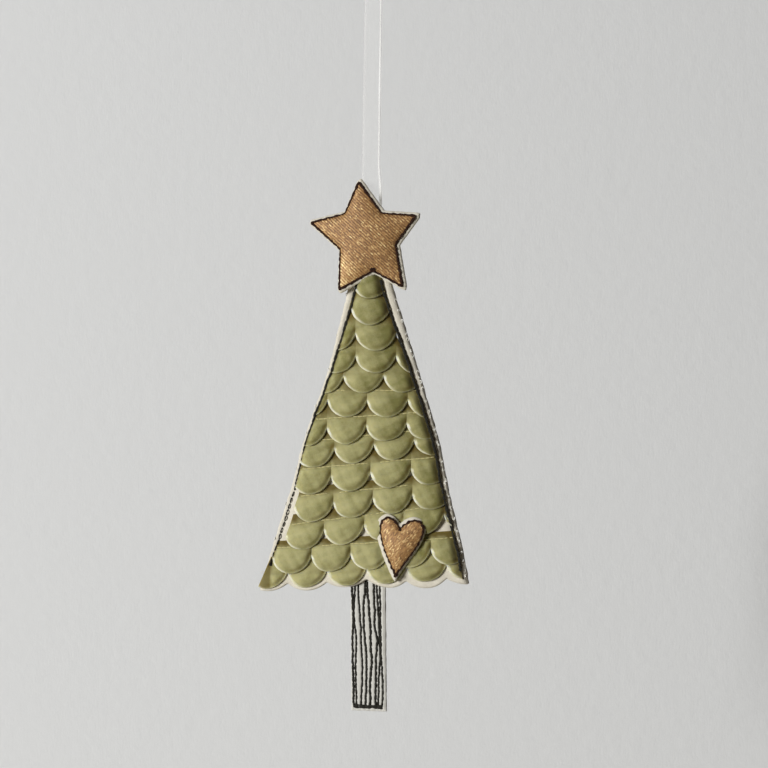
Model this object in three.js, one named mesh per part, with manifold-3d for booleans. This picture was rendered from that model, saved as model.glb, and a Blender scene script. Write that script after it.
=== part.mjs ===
// A hanging tree decoration: two felt panels with wadding between them, thirteen overlapping rows of scalloped
// velvet trim, a puffed star and heart, a stitched trunk, and a sheer ribbon loop sewn in at the top.
// Millimetres. +Z is up and the front looks along -Y. The origin is the inside top of the ribbon loop.

import * as THREE from 'three';
import { mergeVertices } from 'three/addons/utils/BufferGeometryUtils.js';
import Module from 'manifold-3d';

const wasm = await Module();
wasm.setup();

// Clearances between touching layers

const LAYER_GAP = 0.25;
const SEAM_GAP = 0.3;
const OVERRUN = 2;

// Ribbon

const RIBBON_WIDTH = 6.4;
const RIBBON_THICKNESS = 0.4;
const LOOP_HEIGHT = 102;
const LOOP_TOP_SPAN = 8;
const LOOP_FOOT_SPAN = 0.7;
const LOOP_ARCH_HEIGHT = 22;
const LOOP_ARC_STEPS = 16;
const RIBBON_TAIL_LENGTH = 12;
const FOLD_ROOM = 0.5;
const TAIL_PROUD = 0.6;
const HINGE_ROOM = 0.8;

// Felt panels and wadding

const FELT_THICKNESS = 1;
const WADDING_THICKNESS = 2.2;
const TREE_HEIGHT = 130;
const TREE_FOOT_WIDTH = 79.8;
const PUFF = 1;
const PANEL_CELL = 9;
const PANEL_COLUMN_SHARES = [0, 0.12, 0.3, 0.5, 0.7, 0.88, 1];

// Each side of the tree: how far down the height, and how far out as a share of half the foot's width
const LEFT_EDGE_SHARES = [
  [0, 0.087], [0.16, 0.2], [0.378, 0.365], [0.577, 0.59], [0.729, 0.71], [0.872, 0.861], [0.945, 0.95], [1, 1],
];
const RIGHT_EDGE_SHARES = [
  [0, 0.097], [0.16, 0.262], [0.378, 0.495], [0.577, 0.698], [0.729, 0.8], [0.872, 0.92], [0.945, 0.965], [1, 1],
];
const LEFT_STITCH_SHARES = [
  [0, 0.03], [0.16, 0.119], [0.378, 0.322], [0.577, 0.556], [0.729, 0.672], [0.872, 0.813], [0.945, 0.895],
];
const RIGHT_STITCH_SHARES = [
  [0, 0.04], [0.16, 0.166], [0.378, 0.43], [0.577, 0.648], [0.729, 0.747], [0.872, 0.876], [0.945, 0.93],
];
// The padded front swells most part of the way down
const PUFF_START_SHARE = 0.08;
const PUFF_RUN_SHARE = 0.72;

// Scalloped trim

const LOBE_PITCH = 15.1;
const LOBE_DEPTH = 6.3;
const TRIM_BAND = 4.1;
const TRIM_THICKNESS = 0.5;
const LOBE_CROWN = 1.1;
const LIFT_RUN = 1.8;
const CROWN_RUN = 1.6;
const SIDE_PINCH = 3;

// One line a row, top row first: how far down the tree's height its lobes reach, where a cusp falls as a share of
// the pitch, how much the row climbs to the right, and how much of a pitch its left end stops short
const TRIM_ROW_SHARES = [
  { reach: 0.168, cusp: -0.394, climb: 0, short: 0 },
  { reach: 0.247, cusp: -0.393, climb: 0.02, short: 0 },
  { reach: 0.319, cusp: -0.256, climb: 0.02, short: 0 },
  { reach: 0.385, cusp: -0.23, climb: 0.01, short: 0 },
  { reach: 0.442, cusp: 0.464, climb: 0.03, short: 0 },
  { reach: 0.512, cusp: 0.068, climb: 0.01, short: 0 },
  { reach: 0.586, cusp: 0.05, climb: 0.077, short: 0 },
  { reach: 0.643, cusp: 0.258, climb: 0.12, short: 0 },
  { reach: 0.723, cusp: 0.177, climb: 0.108, short: 0.05 },
  { reach: 0.799, cusp: 0.24, climb: 0.124, short: 0.05 },
  { reach: 0.873, cusp: 0.028, climb: 0.15, short: 0.2 },
  { reach: 0.953, cusp: -0.294, climb: 0.084, short: 0 },
  { reach: 1, cusp: 0.095, climb: 0.075, short: 0 },
];
const LOBE_COLUMNS = 8;
const TRIM_END_STEPS = 6;
// Steps down the part of a strip that is free of the band, and which of all its steps the back surface has
const LOBE_STEP_SHARES = [0, 0.36, 0.72, 1];
const TRIM_BACK_STEPS = [0, 2, 3, 6];
// On a column too short to bend at the usual place, the bend is this share of the way down
const BEND_REACH_SHARE = 0.8;

// Felt hem below the last row

const HEM_MARGIN = 0.95;
const HEM_LOBE_DEPTH = 2.4;
const HEM_CLIMB_SHARE = 0.049;
const HEM_STEPS = 5;

// Thread

const THREAD_WIDTH = 0.9;
const THREAD_HEIGHT = 0.45;
const THREAD_STEP = 6;
const SIDE_WANDER = 0.15;
const KNOT_RADIUS = 0.95;
const KNOT_HEIGHT = 0.7;
const KNOT_SIDES = 12;

// Star

const STAR_RADIUS = 21.9;
const STAR_CENTRE_X = -0.5;
const STAR_CENTRE_DROP = 0.6;
const STAR_BACKING_MARGIN = 0.8;
const STAR_BACKING_SHIFT = 0.45;
const STAR_PUFF = 1.9;
const STAR_SEAT_STEPS = 12;
// Tips and notches in turn from the top tip clockwise: the direction in degrees, and the share of the radius
const STAR_POINT_SHARES = [
  [97.5, 1], [58.7, 0.523], [25.1, 0.968], [-9.3, 0.529], [-51.1, 1.045],
  [-75.2, 0.556], [-117, 0.982], [-158.3, 0.464], [163.4, 1], [129.5, 0.565],
];

// Heart

const HEART_WIDTH = 16.3;
const HEART_HEIGHT = 21.8;
const HEART_NOTCH_DEPTH = 3.9;
const HEART_TILT = 4.8;
const HEART_X = 14.4;
const HEART_TOP_REACH_SHARE = 0.836;
const HEART_BACKING_MARGIN = 1.1;
const HEART_BACKING_SHIFT = 0.4;
const HEART_PUFF = 1.5;
const HEART_LEFT_SHARE = 0.46;
// The outline's curves from the notch round by the left: two control points and the end of each. Across is a share of
// that side's width; up is a share of the notch's depth above the notch, and of the rest of the height below it
const HEART_CURVE_SHARES = [
  [[-0.16, 0.5], [-0.38, 1], [-0.62, 1]],
  [[-0.9, 1], [-1.04, 0.45], [-1, -0.02]],
  [[-0.92, -0.36], [-0.4, -0.68], [0, -1]],
  [[0.32, -0.66], [0.86, -0.36], [1, -0.02]],
  [[1.04, 0.45], [0.9, 1], [0.62, 1]],
  [[0.38, 1], [0.16, 0.5], [0, 0]],
];
const HEART_CURVE_STEPS = 6;
const HEART_PRESS_RUN = 3;

// The puffed cloth of star and heart

const CLOTH_THICKNESS = 0.5;
const CLOTH_MARGIN = 0.22;
// Rings from the edge inwards, and how far up the puff each one stands: flat under the thread, then rising
const PUFF_RING_SHARES = [[1, 0], [0.76, 0], [0.62, 0.5], [0.44, 0.82], [0.22, 0.97]];
// The wadding fills the cloth from halfway up its first rise
const WADDING_RING_SHARE = (PUFF_RING_SHARES[1][0] + PUFF_RING_SHARES[2][0]) / 2;
// A moved outline point nearer than this share of the move is in a notch that has closed
const CROWDED_SHARE = 0.95;

// Trunk

const TRUNK_WIDTH = 13.4;
const TRUNK_LENGTH = 47.3;
const TRUNK_TUCK = 9;
const TRUNK_X = 1.75;
const TRUNK_LEAN = 1.1;
const TRUNK_CLOTH = 0.55;
const TRUNK_LAYER_GAP = 0.15;
const TRUNK_WADDING_INSET = 1.4;
const TRUNK_WADDING = 0.6;
const TRUNK_WANDER = 0.28;
const TRUNK_WAVES = 4;
const TRUNK_WAVE_KINDS = 3;
const TRUNK_STITCH_END_INSET = 1.6;
const TRUNK_STITCH_WIDTH = 0.7;
const TRUNK_STITCH_STEPS = 12;
// Where each line of stitching starts and ends across the trunk
const TRUNK_STITCH_SHARES = [
  [0.07, 0.08], [0.19, 0.17], [0.3, 0.29], [0.42, 0.42], [0.53, 0.55], [0.66, 0.69], [0.77, 0.77], [0.9, 0.88],
];

// Depths of the layers, worked out from the ribbon's plane at Y = 0

const RIBBON_HALF_STACK = (LOOP_FOOT_SPAN + RIBBON_THICKNESS) / 2;
const PANEL_INNER_Y = -(RIBBON_HALF_STACK + LAYER_GAP);
const PANEL_FRONT_Y = PANEL_INNER_Y - FELT_THICKNESS;
const WADDING_FRONT_Y = PANEL_INNER_Y + LAYER_GAP;
const WADDING_BACK_Y = WADDING_FRONT_Y + WADDING_THICKNESS;
const BACK_PANEL_INNER_Y = WADDING_BACK_Y + LAYER_GAP;
const BACK_PANEL_Y = BACK_PANEL_INNER_Y + FELT_THICKNESS;
const TRIM_LIFT = TRIM_THICKNESS + LAYER_GAP;
const TRIM_HEIGHT = TRIM_BAND + LOBE_DEPTH;

// Heights

const HINGE_Z = -LOOP_HEIGHT;
const TREE_TOP_Z = HINGE_Z - HINGE_ROOM;

// Solids and materials

function bareGeometry(geometry) {
  const bare = geometry.index ? geometry.toNonIndexed() : geometry.clone();
  bare.deleteAttribute('normal');
  bare.deleteAttribute('uv');
  return mergeVertices(bare);
}

function solidOf(geometry) {
  const merged = bareGeometry(geometry);
  return new wasm.Manifold(new wasm.Mesh({
    numProp: 3,
    vertProperties: new Float32Array(merged.attributes.position.array),
    triVerts: new Uint32Array(merged.index.array),
  }));
}

function geometryOf(solid) {
  const mesh = solid.getMesh();
  const geometry = new THREE.BufferGeometry();
  geometry.setAttribute('position', new THREE.BufferAttribute(new Float32Array(mesh.vertProperties), 3));
  geometry.setIndex(new THREE.BufferAttribute(new Uint32Array(mesh.triVerts), 1));
  geometry.computeVertexNormals();
  return geometry;
}

// A cut can leave a loose sliver at a strip's end; the strip itself is the largest piece
function largestPiece(solid) {
  const pieces = solid.decompose();
  return pieces.reduce((best, piece) => (piece.volume() > best.volume() ? piece : best));
}

function cloth(colour, roughness = 0.9, metalness = 0) {
  return new THREE.MeshStandardMaterial({ color: colour, roughness, metalness });
}

const felt = cloth(0xe6e3d6, 0.95);
const waddingFill = cloth(0xd9d6ca, 1);
const velvet = cloth(0x97925f, 0.75);
const goldCloth = cloth(0xb08a5c, 0.45, 0.35);
const blackThread = cloth(0x23201c, 0.7);
const brownThread = cloth(0x2e1a12, 0.7);
const organza = cloth(0xf4f3f0, 0.4);
const trunkCloth = cloth(0xe3e0d4, 0.9);

const tree = new THREE.Group();

function addPiece(name, geometry, material) {
  const mesh = new THREE.Mesh(geometry, material);
  mesh.name = name;
  tree.add(mesh);
  return mesh;
}

// Flat shapes: drawn in X and Z and given their thickness along Y, or drawn in Y and Z and given it along X

const FACE_ON = new THREE.Matrix4().makeBasis(
  new THREE.Vector3(1, 0, 0), new THREE.Vector3(0, 0, 1), new THREE.Vector3(0, -1, 0),
);
const SIDE_ON = new THREE.Matrix4().makeBasis(
  new THREE.Vector3(0, 1, 0), new THREE.Vector3(0, 0, 1), new THREE.Vector3(1, 0, 0),
);

function rectangle(left, right, bottom, top) {
  return new THREE.Shape([
    new THREE.Vector2(left, bottom),
    new THREE.Vector2(right, bottom),
    new THREE.Vector2(right, top),
    new THREE.Vector2(left, top),
  ]);
}

function middleOf(points) {
  const box = new THREE.Box2().setFromPoints(points);
  return box.getCenter(new THREE.Vector2());
}

function slab(shape, backY, thickness) {
  const geometry = new THREE.ExtrudeGeometry(shape, { depth: thickness, bevelEnabled: false });
  geometry.applyMatrix4(FACE_ON);
  geometry.translate(0, backY, 0);
  return geometry;
}

function ribbonStrip(shape) {
  const geometry = new THREE.ExtrudeGeometry(shape, { depth: RIBBON_WIDTH, bevelEnabled: false });
  geometry.applyMatrix4(SIDE_ON);
  geometry.translate(-RIBBON_WIDTH / 2, 0, 0);
  return geometry;
}

function smoothStep(value, start, end) {
  return THREE.MathUtils.smoothstep(value, start, end);
}

// A table of [down, out] shares read at any height of the tree, straight between its lines
function shareAt(table, down) {
  const clamped = THREE.MathUtils.clamp(down, table[0][0], table[table.length - 1][0]);
  const next = Math.max(1, table.findIndex(([place]) => place >= clamped));
  const [fromDown, fromOut] = table[next - 1];
  const [toDown, toOut] = table[next];
  return THREE.MathUtils.mapLinear(clamped, fromDown, toDown, fromOut, toOut);
}

function downShare(z) {
  return (TREE_TOP_Z - z) / TREE_HEIGHT;
}

function heightAt(down) {
  return TREE_TOP_Z - down * TREE_HEIGHT;
}

function leftLine(table, z) {
  return -shareAt(table, downShare(z)) * TREE_FOOT_WIDTH / 2;
}

function rightLine(table, z) {
  return shareAt(table, downShare(z)) * TREE_FOOT_WIDTH / 2;
}

// How far the padded front stands out, level with the edges at the side stitching
function puffAt(x, z) {
  const left = leftLine(LEFT_STITCH_SHARES, z);
  const right = rightLine(RIGHT_STITCH_SHARES, z);
  const across = (2 * x - left - right) / (right - left);
  const down = THREE.MathUtils.clamp(downShare(z), 0, 1);
  const swell = Math.sin(Math.PI * (PUFF_START_SHARE + PUFF_RUN_SHARE * down));
  return PUFF * swell * Math.max(0, 1 - across * across);
}

function panelFrontAt(x, z) {
  return PANEL_FRONT_Y - puffAt(x, z);
}

// Scallops: a lobe is an arc between two cusps

function arcRadius(chord, sagitta) {
  return (chord * chord / 4 + sagitta * sagitta) / (2 * sagitta);
}

const LOBE_RADIUS = arcRadius(LOBE_PITCH, LOBE_DEPTH);
const LOBE_HALF_ANGLE = Math.asin(LOBE_PITCH / 2 / LOBE_RADIUS);

const trimRows = TRIM_ROW_SHARES.map(({ reach, cusp, climb, short }, index) => ({
  reachZ: heightAt(reach),
  cuspX: cusp * LOBE_PITCH,
  climb,
  leftShort: short * LOBE_PITCH,
  nextGap: index + 1 < TRIM_ROW_SHARES.length
    ? (TRIM_ROW_SHARES[index + 1].reach - reach) * TREE_HEIGHT
    : TRIM_HEIGHT,
  nextClimb: index + 1 < TRIM_ROW_SHARES.length ? TRIM_ROW_SHARES[index + 1].climb - climb : 0,
  coveredBand: index > 0
    ? TRIM_HEIGHT - (reach - TRIM_ROW_SHARES[index - 1].reach) * TREE_HEIGHT
    : 0,
  isHem: index + 1 === TRIM_ROW_SHARES.length,
}));

// Felt outline, with its scalloped hem

const hemRow = trimRows[trimRows.length - 1];
const HEM_RADIUS = arcRadius(LOBE_PITCH, HEM_LOBE_DEPTH);

function hemHeightAt(x) {
  const fromCusp = THREE.MathUtils.euclideanModulo(x - hemRow.cuspX, LOBE_PITCH) - LOBE_PITCH / 2;
  const below = Math.sqrt(HEM_RADIUS * HEM_RADIUS - fromCusp * fromCusp) - (HEM_RADIUS - HEM_LOBE_DEPTH);
  return hemRow.reachZ - HEM_MARGIN + HEM_LOBE_DEPTH - below + HEM_CLIMB_SHARE * x;
}

function feltOutline() {
  const corner = TREE_FOOT_WIDTH / 2;
  const points = LEFT_EDGE_SHARES.slice(0, -1).map(([down, out]) => (
    new THREE.Vector2(-out * corner, heightAt(down))
  ));
  const hemStep = LOBE_PITCH / HEM_STEPS;
  const firstStep = Math.ceil((-corner - hemRow.cuspX) / hemStep);
  const lastStep = Math.floor((corner - hemRow.cuspX) / hemStep);
  points.push(new THREE.Vector2(-corner, hemHeightAt(-corner)));
  for (let step = firstStep; step <= lastStep; step += 1) {
    const x = hemRow.cuspX + step * hemStep;
    if (x + corner > hemStep / 2 && corner - x > hemStep / 2) {
      points.push(new THREE.Vector2(x, hemHeightAt(x)));
    }
  }
  points.push(new THREE.Vector2(corner, hemHeightAt(corner)));
  for (const [down, out] of RIGHT_EDGE_SHARES.slice(0, -1).reverse()) {
    points.push(new THREE.Vector2(out * corner, heightAt(down)));
  }
  return points;
}

// A block over the whole tree whose front and back follow two given surfaces, in columns between the side stitching
function surfaceBlock(frontAt, backAt) {
  const reach = TREE_FOOT_WIDTH / 2 + OVERRUN;
  const top = TREE_TOP_Z + OVERRUN;
  const bottom = heightAt(1) - HEM_MARGIN - HEM_LOBE_DEPTH - OVERRUN;
  const rows = Math.round((top - bottom) / PANEL_CELL);
  const acrossAt = (z) => {
    const left = leftLine(LEFT_STITCH_SHARES, z);
    const right = rightLine(RIGHT_STITCH_SHARES, z);
    return [-reach, ...PANEL_COLUMN_SHARES.map((share) => THREE.MathUtils.lerp(left, right, share)), reach];
  };
  const columns = PANEL_COLUMN_SHARES.length + 2;
  const gridOf = (surfaceAt) => Array.from({ length: columns }, (unused, column) => (
    Array.from({ length: rows + 1 }, (alsoUnused, row) => {
      const z = THREE.MathUtils.lerp(top, bottom, row / rows);
      const x = acrossAt(z)[column];
      return new THREE.Vector3(x, surfaceAt(x, z), z);
    })
  ));
  const everyRow = Array.from({ length: rows + 1 }, (unused, row) => row);
  return solidOf(closedGrid(gridOf(frontAt), gridOf(backAt), everyRow));
}

// Closes two grids of points into one solid. They have the same columns, and back row k lies behind front row
// backSteps[k].
function closedGrid(front, back, backSteps) {
  const triangles = [];
  const quad = (a, b, c, d) => triangles.push(a, b, c, a, c, d);
  const columns = front.length;
  const frontEnd = front[0].length - 1;
  const backEnd = back[0].length - 1;
  for (let i = 0; i + 1 < columns; i += 1) {
    for (let j = 0; j < frontEnd; j += 1) {
      quad(front[i][j], front[i][j + 1], front[i + 1][j + 1], front[i + 1][j]);
    }
    for (let k = 0; k < backEnd; k += 1) {
      quad(back[i][k], back[i + 1][k], back[i + 1][k + 1], back[i][k + 1]);
    }
    quad(front[i][0], front[i + 1][0], back[i + 1][0], back[i][0]);
    quad(front[i][frontEnd], back[i][backEnd], back[i + 1][backEnd], front[i + 1][frontEnd]);
  }
  for (const [column, flip] of [[0, false], [columns - 1, true]]) {
    for (let k = 0; k < backEnd; k += 1) {
      const wall = [[back[column][k], back[column][k + 1], front[column][backSteps[k + 1]]]];
      for (let j = backSteps[k]; j < backSteps[k + 1]; j += 1) {
        wall.push([back[column][k], front[column][j + 1], front[column][j]]);
      }
      for (const [a, b, c] of wall) {
        triangles.push(...(flip ? [a, c, b] : [a, b, c]));
      }
    }
  }
  return new THREE.BufferGeometry().setFromPoints(triangles);
}

// Trunk outline: it leans a little and goes up between the panels

const TRUNK_FOOT_Z = heightAt(1) - TRUNK_LENGTH;
const TRUNK_TOP_Z = heightAt(1) + TRUNK_TUCK;

function trunkCentreAt(z) {
  return TRUNK_X + TRUNK_LEAN * (heightAt(1) - z) / TRUNK_LENGTH;
}

function trunkShape(inset, topInset) {
  const half = TRUNK_WIDTH / 2 - inset;
  const top = TRUNK_TOP_Z - topInset;
  const foot = TRUNK_FOOT_Z + inset;
  return new THREE.Shape([
    new THREE.Vector2(trunkCentreAt(foot) - half, foot),
    new THREE.Vector2(trunkCentreAt(foot) + half, foot),
    new THREE.Vector2(trunkCentreAt(top) + half, top),
    new THREE.Vector2(trunkCentreAt(top) - half, top),
  ]);
}

// Felt panels and wadding

const outlinePoints = feltOutline();
const treeShape = new THREE.Shape(outlinePoints);
const treePrism = solidOf(slab(treeShape, BACK_PANEL_Y + OVERRUN, BACK_PANEL_Y - PANEL_FRONT_Y + PUFF + 2 * OVERRUN));

addPiece('back_panel', slab(treeShape, BACK_PANEL_Y, FELT_THICKNESS), felt);

const frontBlock = surfaceBlock(
  (x, z) => panelFrontAt(x, z),
  (x, z) => panelFrontAt(x, z) + FELT_THICKNESS,
);
addPiece('front_panel', geometryOf(frontBlock.intersect(treePrism)), felt);

// The wadding leaves room at the top for the ribbon's sewn end, and at the foot for the trunk
const tailRoom = slab(
  rectangle(-TREE_FOOT_WIDTH / 2, TREE_FOOT_WIDTH / 2, HINGE_Z - RIBBON_TAIL_LENGTH - SEAM_GAP, TREE_TOP_Z + OVERRUN),
  WADDING_BACK_Y + OVERRUN,
  WADDING_THICKNESS + PUFF + 2 * OVERRUN,
);
const trunkRoom = slab(
  rectangle(
    trunkCentreAt(TRUNK_TOP_Z) - TRUNK_WIDTH / 2 - SEAM_GAP,
    trunkCentreAt(heightAt(1) - HEM_MARGIN) + TRUNK_WIDTH / 2 + SEAM_GAP,
    TRUNK_FOOT_Z,
    TRUNK_TOP_Z + SEAM_GAP,
  ),
  WADDING_BACK_Y + OVERRUN,
  WADDING_THICKNESS + PUFF + 2 * OVERRUN,
);
const waddingBlock = surfaceBlock(
  (x, z) => WADDING_FRONT_Y - puffAt(x, z),
  () => WADDING_BACK_Y,
);
const wadding = waddingBlock.intersect(treePrism).subtract(solidOf(tailRoom)).subtract(solidOf(trunkRoom));
addPiece('wadding_core', geometryOf(wadding), waddingFill);

// Heart outline: two round lobes, a notch and a long point, turned by the tilt about its notch

const HEART_NOTCH_Z = heightAt(HEART_TOP_REACH_SHARE);

function heartOutline() {
  const left = HEART_WIDTH * HEART_LEFT_SHARE;
  const right = HEART_WIDTH - left;
  const placeOf = ([across, up]) => [
    across * (across < 0 ? left : right),
    up * (up < 0 ? HEART_HEIGHT - HEART_NOTCH_DEPTH : HEART_NOTCH_DEPTH),
  ];
  const shape = new THREE.Shape();
  shape.moveTo(0, 0);
  HEART_CURVE_SHARES.forEach((curve) => shape.bezierCurveTo(...curve.flatMap(placeOf)));
  const points = shape.getPoints(HEART_CURVE_STEPS).slice(0, -1);
  const tilt = -THREE.MathUtils.degToRad(HEART_TILT);
  const notch = new THREE.Vector2(HEART_X, HEART_NOTCH_Z);
  return points.map((point) => point.clone().rotateAround(new THREE.Vector2(), tilt).add(notch));
}

const heartPoints = heartOutline();
const heartCentre = middleOf(heartPoints);

// The sewn heart presses the trim under it flat
function pressedUnderHeart(x, z) {
  const reach = HEART_HEIGHT / 2;
  const distance = Math.hypot(x - heartCentre.x, z - heartCentre.y);
  return 1 - smoothStep(distance, reach, reach + HEART_PRESS_RUN);
}

// Scalloped trim rows

const SIDE_STITCH_TOP_Z = heightAt(LEFT_STITCH_SHARES[1][0]) + THREAD_STEP;
const SIDE_STITCH_FOOT_Z = heightAt(LEFT_STITCH_SHARES[LEFT_STITCH_SHARES.length - 1][0]);

function trimTopAt(row, x) {
  return row.reachZ + TRIM_HEIGHT + row.climb * x;
}

// The strip leans out over the next strip's top edge before it gets there, and its lobes puff below the band
function trimRun(row) {
  const closest = row.nextGap - Math.abs(row.nextClimb) * TREE_FOOT_WIDTH / 2;
  const liftEnd = Math.min(TRIM_BAND + LIFT_RUN, closest - LAYER_GAP);
  return {
    liftStart: liftEnd - LIFT_RUN,
    liftEnd,
    crownStart: Math.max(TRIM_BAND, row.coveredBand + LAYER_GAP),
  };
}

function trimLiftAt(row, below) {
  const { liftStart, liftEnd } = trimRun(row);
  return row.isHem ? 0 : TRIM_LIFT * smoothStep(below, liftStart, liftEnd);
}

function trimCrownAt(row, x, z, below) {
  const { crownStart } = trimRun(row);
  const fromCusp = THREE.MathUtils.euclideanModulo(x - row.cuspX, LOBE_PITCH) - LOBE_PITCH / 2;
  const fromCentre = Math.hypot(fromCusp, below - (TRIM_HEIGHT - LOBE_RADIUS)) / LOBE_RADIUS;
  const dome = Math.sqrt(Math.max(0, 1 - fromCentre * fromCentre));
  const rise = smoothStep(below, crownStart, crownStart + CROWN_RUN);
  const fromSide = Math.min(x - leftLine(LEFT_STITCH_SHARES, z), rightLine(RIGHT_STITCH_SHARES, z) - x);
  const pinch = smoothStep(fromSide, 0, SIDE_PINCH);
  return LOBE_CROWN * dome * rise * pinch * (1 - pressedUnderHeart(x, z));
}

// The fronts of the strips that cover a place between the side stitching
function trimFrontsAt(x, z) {
  const isSewnOn = x > leftLine(LEFT_STITCH_SHARES, z) && x < rightLine(RIGHT_STITCH_SHARES, z);
  const covering = trimRows.filter((row) => trimTopAt(row, x) >= z && trimTopAt(row, x) - TRIM_HEIGHT <= z);
  return (isSewnOn ? covering : []).map((row) => {
    const below = trimTopAt(row, x) - z;
    return panelFrontAt(x, z) - LAYER_GAP - trimLiftAt(row, below) - TRIM_THICKNESS - trimCrownAt(row, x, z, below);
  });
}

// The steps down one column of a strip: the band bends forward at the second and third, and the lobe follows
function trimSteps(row, length) {
  const { liftStart, liftEnd } = trimRun(row);
  const bend = Math.min(liftEnd, length * BEND_REACH_SHARE);
  const start = bend * liftStart / liftEnd;
  return [0, start / 2, start, ...LOBE_STEP_SHARES.map((share) => THREE.MathUtils.lerp(bend, length, share))];
}

function trimSolid(row) {
  const half = TREE_FOOT_WIDTH / 2;
  const firstLobe = Math.floor((-half - row.cuspX) / LOBE_PITCH);
  const lastLobe = Math.ceil((half - row.cuspX) / LOBE_PITCH);
  const front = [];
  const back = [];
  for (let lobe = firstLobe; lobe < lastLobe; lobe += 1) {
    const centre = row.cuspX + (lobe + 0.5) * LOBE_PITCH;
    for (let column = lobe === firstLobe ? 0 : 1; column <= LOBE_COLUMNS; column += 1) {
      const angle = THREE.MathUtils.lerp(-LOBE_HALF_ANGLE, LOBE_HALF_ANGLE, column / LOBE_COLUMNS);
      const x = centre + LOBE_RADIUS * Math.sin(angle);
      const length = TRIM_HEIGHT - LOBE_RADIUS * (1 - Math.cos(angle));
      const places = trimSteps(row, length).map((below) => {
        const z = trimTopAt(row, x) - below;
        const seatY = panelFrontAt(x, z) - LAYER_GAP - trimLiftAt(row, below);
        return { x, z, below, seatY };
      });
      front.push(places.map(({ z, below, seatY }) => (
        new THREE.Vector3(x, seatY - TRIM_THICKNESS - trimCrownAt(row, x, z, below), z)
      )));
      back.push(TRIM_BACK_STEPS.map((step) => new THREE.Vector3(x, places[step].seatY, places[step].z)));
    }
  }
  return solidOf(closedGrid(front, back, TRIM_BACK_STEPS));
}

// A strip is cut off just inside the side stitching; the hem strip runs on to the felt's edge below the stitching
function trimRoom(row) {
  const nearKnots = row.reachZ < SIDE_STITCH_FOOT_Z + LOBE_DEPTH;
  const endRoom = (nearKnots ? KNOT_RADIUS : THREAD_WIDTH / 2) + SIDE_WANDER + LAYER_GAP;
  const leftPoints = [];
  const rightPoints = [];
  const topZ = trimTopAt(row, 0) + row.climb * TREE_FOOT_WIDTH / 2 + OVERRUN;
  const bottomZ = row.reachZ - row.climb * TREE_FOOT_WIDTH / 2 - OVERRUN;
  const stitchEndZ = SIDE_STITCH_FOOT_Z - KNOT_RADIUS - SEAM_GAP;
  for (let step = 0; step <= TRIM_END_STEPS; step += 1) {
    const z = THREE.MathUtils.lerp(topZ, row.isHem ? stitchEndZ : bottomZ, step / TRIM_END_STEPS);
    leftPoints.push(new THREE.Vector2(leftLine(LEFT_STITCH_SHARES, z) + endRoom + row.leftShort, z));
    rightPoints.push(new THREE.Vector2(rightLine(RIGHT_STITCH_SHARES, z) - endRoom, z));
  }
  if (row.isHem) {
    const edge = TREE_FOOT_WIDTH / 2 - SEAM_GAP;
    leftPoints.push(new THREE.Vector2(leftLine(LEFT_EDGE_SHARES, stitchEndZ) + SEAM_GAP, stitchEndZ));
    leftPoints.push(new THREE.Vector2(-edge, bottomZ));
    rightPoints.push(new THREE.Vector2(rightLine(RIGHT_EDGE_SHARES, stitchEndZ) - SEAM_GAP, stitchEndZ));
    rightPoints.push(new THREE.Vector2(edge, bottomZ));
  }
  const shape = new THREE.Shape([...leftPoints, ...rightPoints.reverse()]);
  return solidOf(slab(shape, OVERRUN, -PANEL_FRONT_Y + PUFF + TRIM_LIFT + TRIM_THICKNESS + LOBE_CROWN + 3 * OVERRUN));
}

trimRows.forEach((row, index) => {
  const strip = largestPiece(trimSolid(row).intersect(trimRoom(row)));
  addPiece(`trim_row_${String(index + 1).padStart(2, '0')}`, geometryOf(strip), velvet);
});

// Thread drawn as a flat wandering line

function threadShape(centreAt, fromZ, toZ, width, steps) {
  const left = [];
  const right = [];
  for (let step = 0; step <= steps; step += 1) {
    const z = THREE.MathUtils.lerp(fromZ, toZ, step / steps);
    left.push(new THREE.Vector2(centreAt(z) - width / 2, z));
    right.push(new THREE.Vector2(centreAt(z) + width / 2, z));
  }
  return new THREE.Shape([...left, ...right.reverse()]);
}

function knot(x, z, backY) {
  const points = [];
  for (let side = 0; side < KNOT_SIDES; side += 1) {
    const angle = 2 * Math.PI * side / KNOT_SIDES;
    points.push(new THREE.Vector2(x + KNOT_RADIUS * Math.cos(angle), z + KNOT_RADIUS * Math.sin(angle)));
  }
  return solidOf(slab(new THREE.Shape(points), backY, KNOT_HEIGHT));
}

// Side stitching, sewn through all the layers, with a knot at each foot

function sideStitch(lineAt) {
  const steps = Math.round((SIDE_STITCH_TOP_Z - SIDE_STITCH_FOOT_Z) / THREAD_STEP);
  const centreAt = (z) => lineAt(z) + SIDE_WANDER * Math.sin(z * Math.PI / (2 * THREAD_STEP));
  const shape = threadShape(centreAt, SIDE_STITCH_TOP_Z, SIDE_STITCH_FOOT_Z, THREAD_WIDTH, steps);
  const backY = PANEL_FRONT_Y - LAYER_GAP;
  const end = knot(centreAt(SIDE_STITCH_FOOT_Z), SIDE_STITCH_FOOT_Z, backY);
  return geometryOf(solidOf(slab(shape, backY, THREAD_HEIGHT)).add(end));
}

addPiece('edge_stitch_left', sideStitch((z) => leftLine(LEFT_STITCH_SHARES, z)), blackThread);
addPiece('edge_stitch_right', sideStitch((z) => rightLine(RIGHT_STITCH_SHARES, z)), blackThread);

// Star and heart: a felt backing, a wadding and a puffed cloth, with a thread line round the edge

function distanceToOutline(place, points) {
  const distances = points.map((point, index) => {
    const side = points[(index + 1) % points.length].clone().sub(point);
    const along = THREE.MathUtils.clamp(place.clone().sub(point).dot(side) / side.lengthSq(), 0, 1);
    return place.distanceTo(point.clone().addScaledVector(side, along));
  });
  return Math.min(...distances);
}

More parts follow.
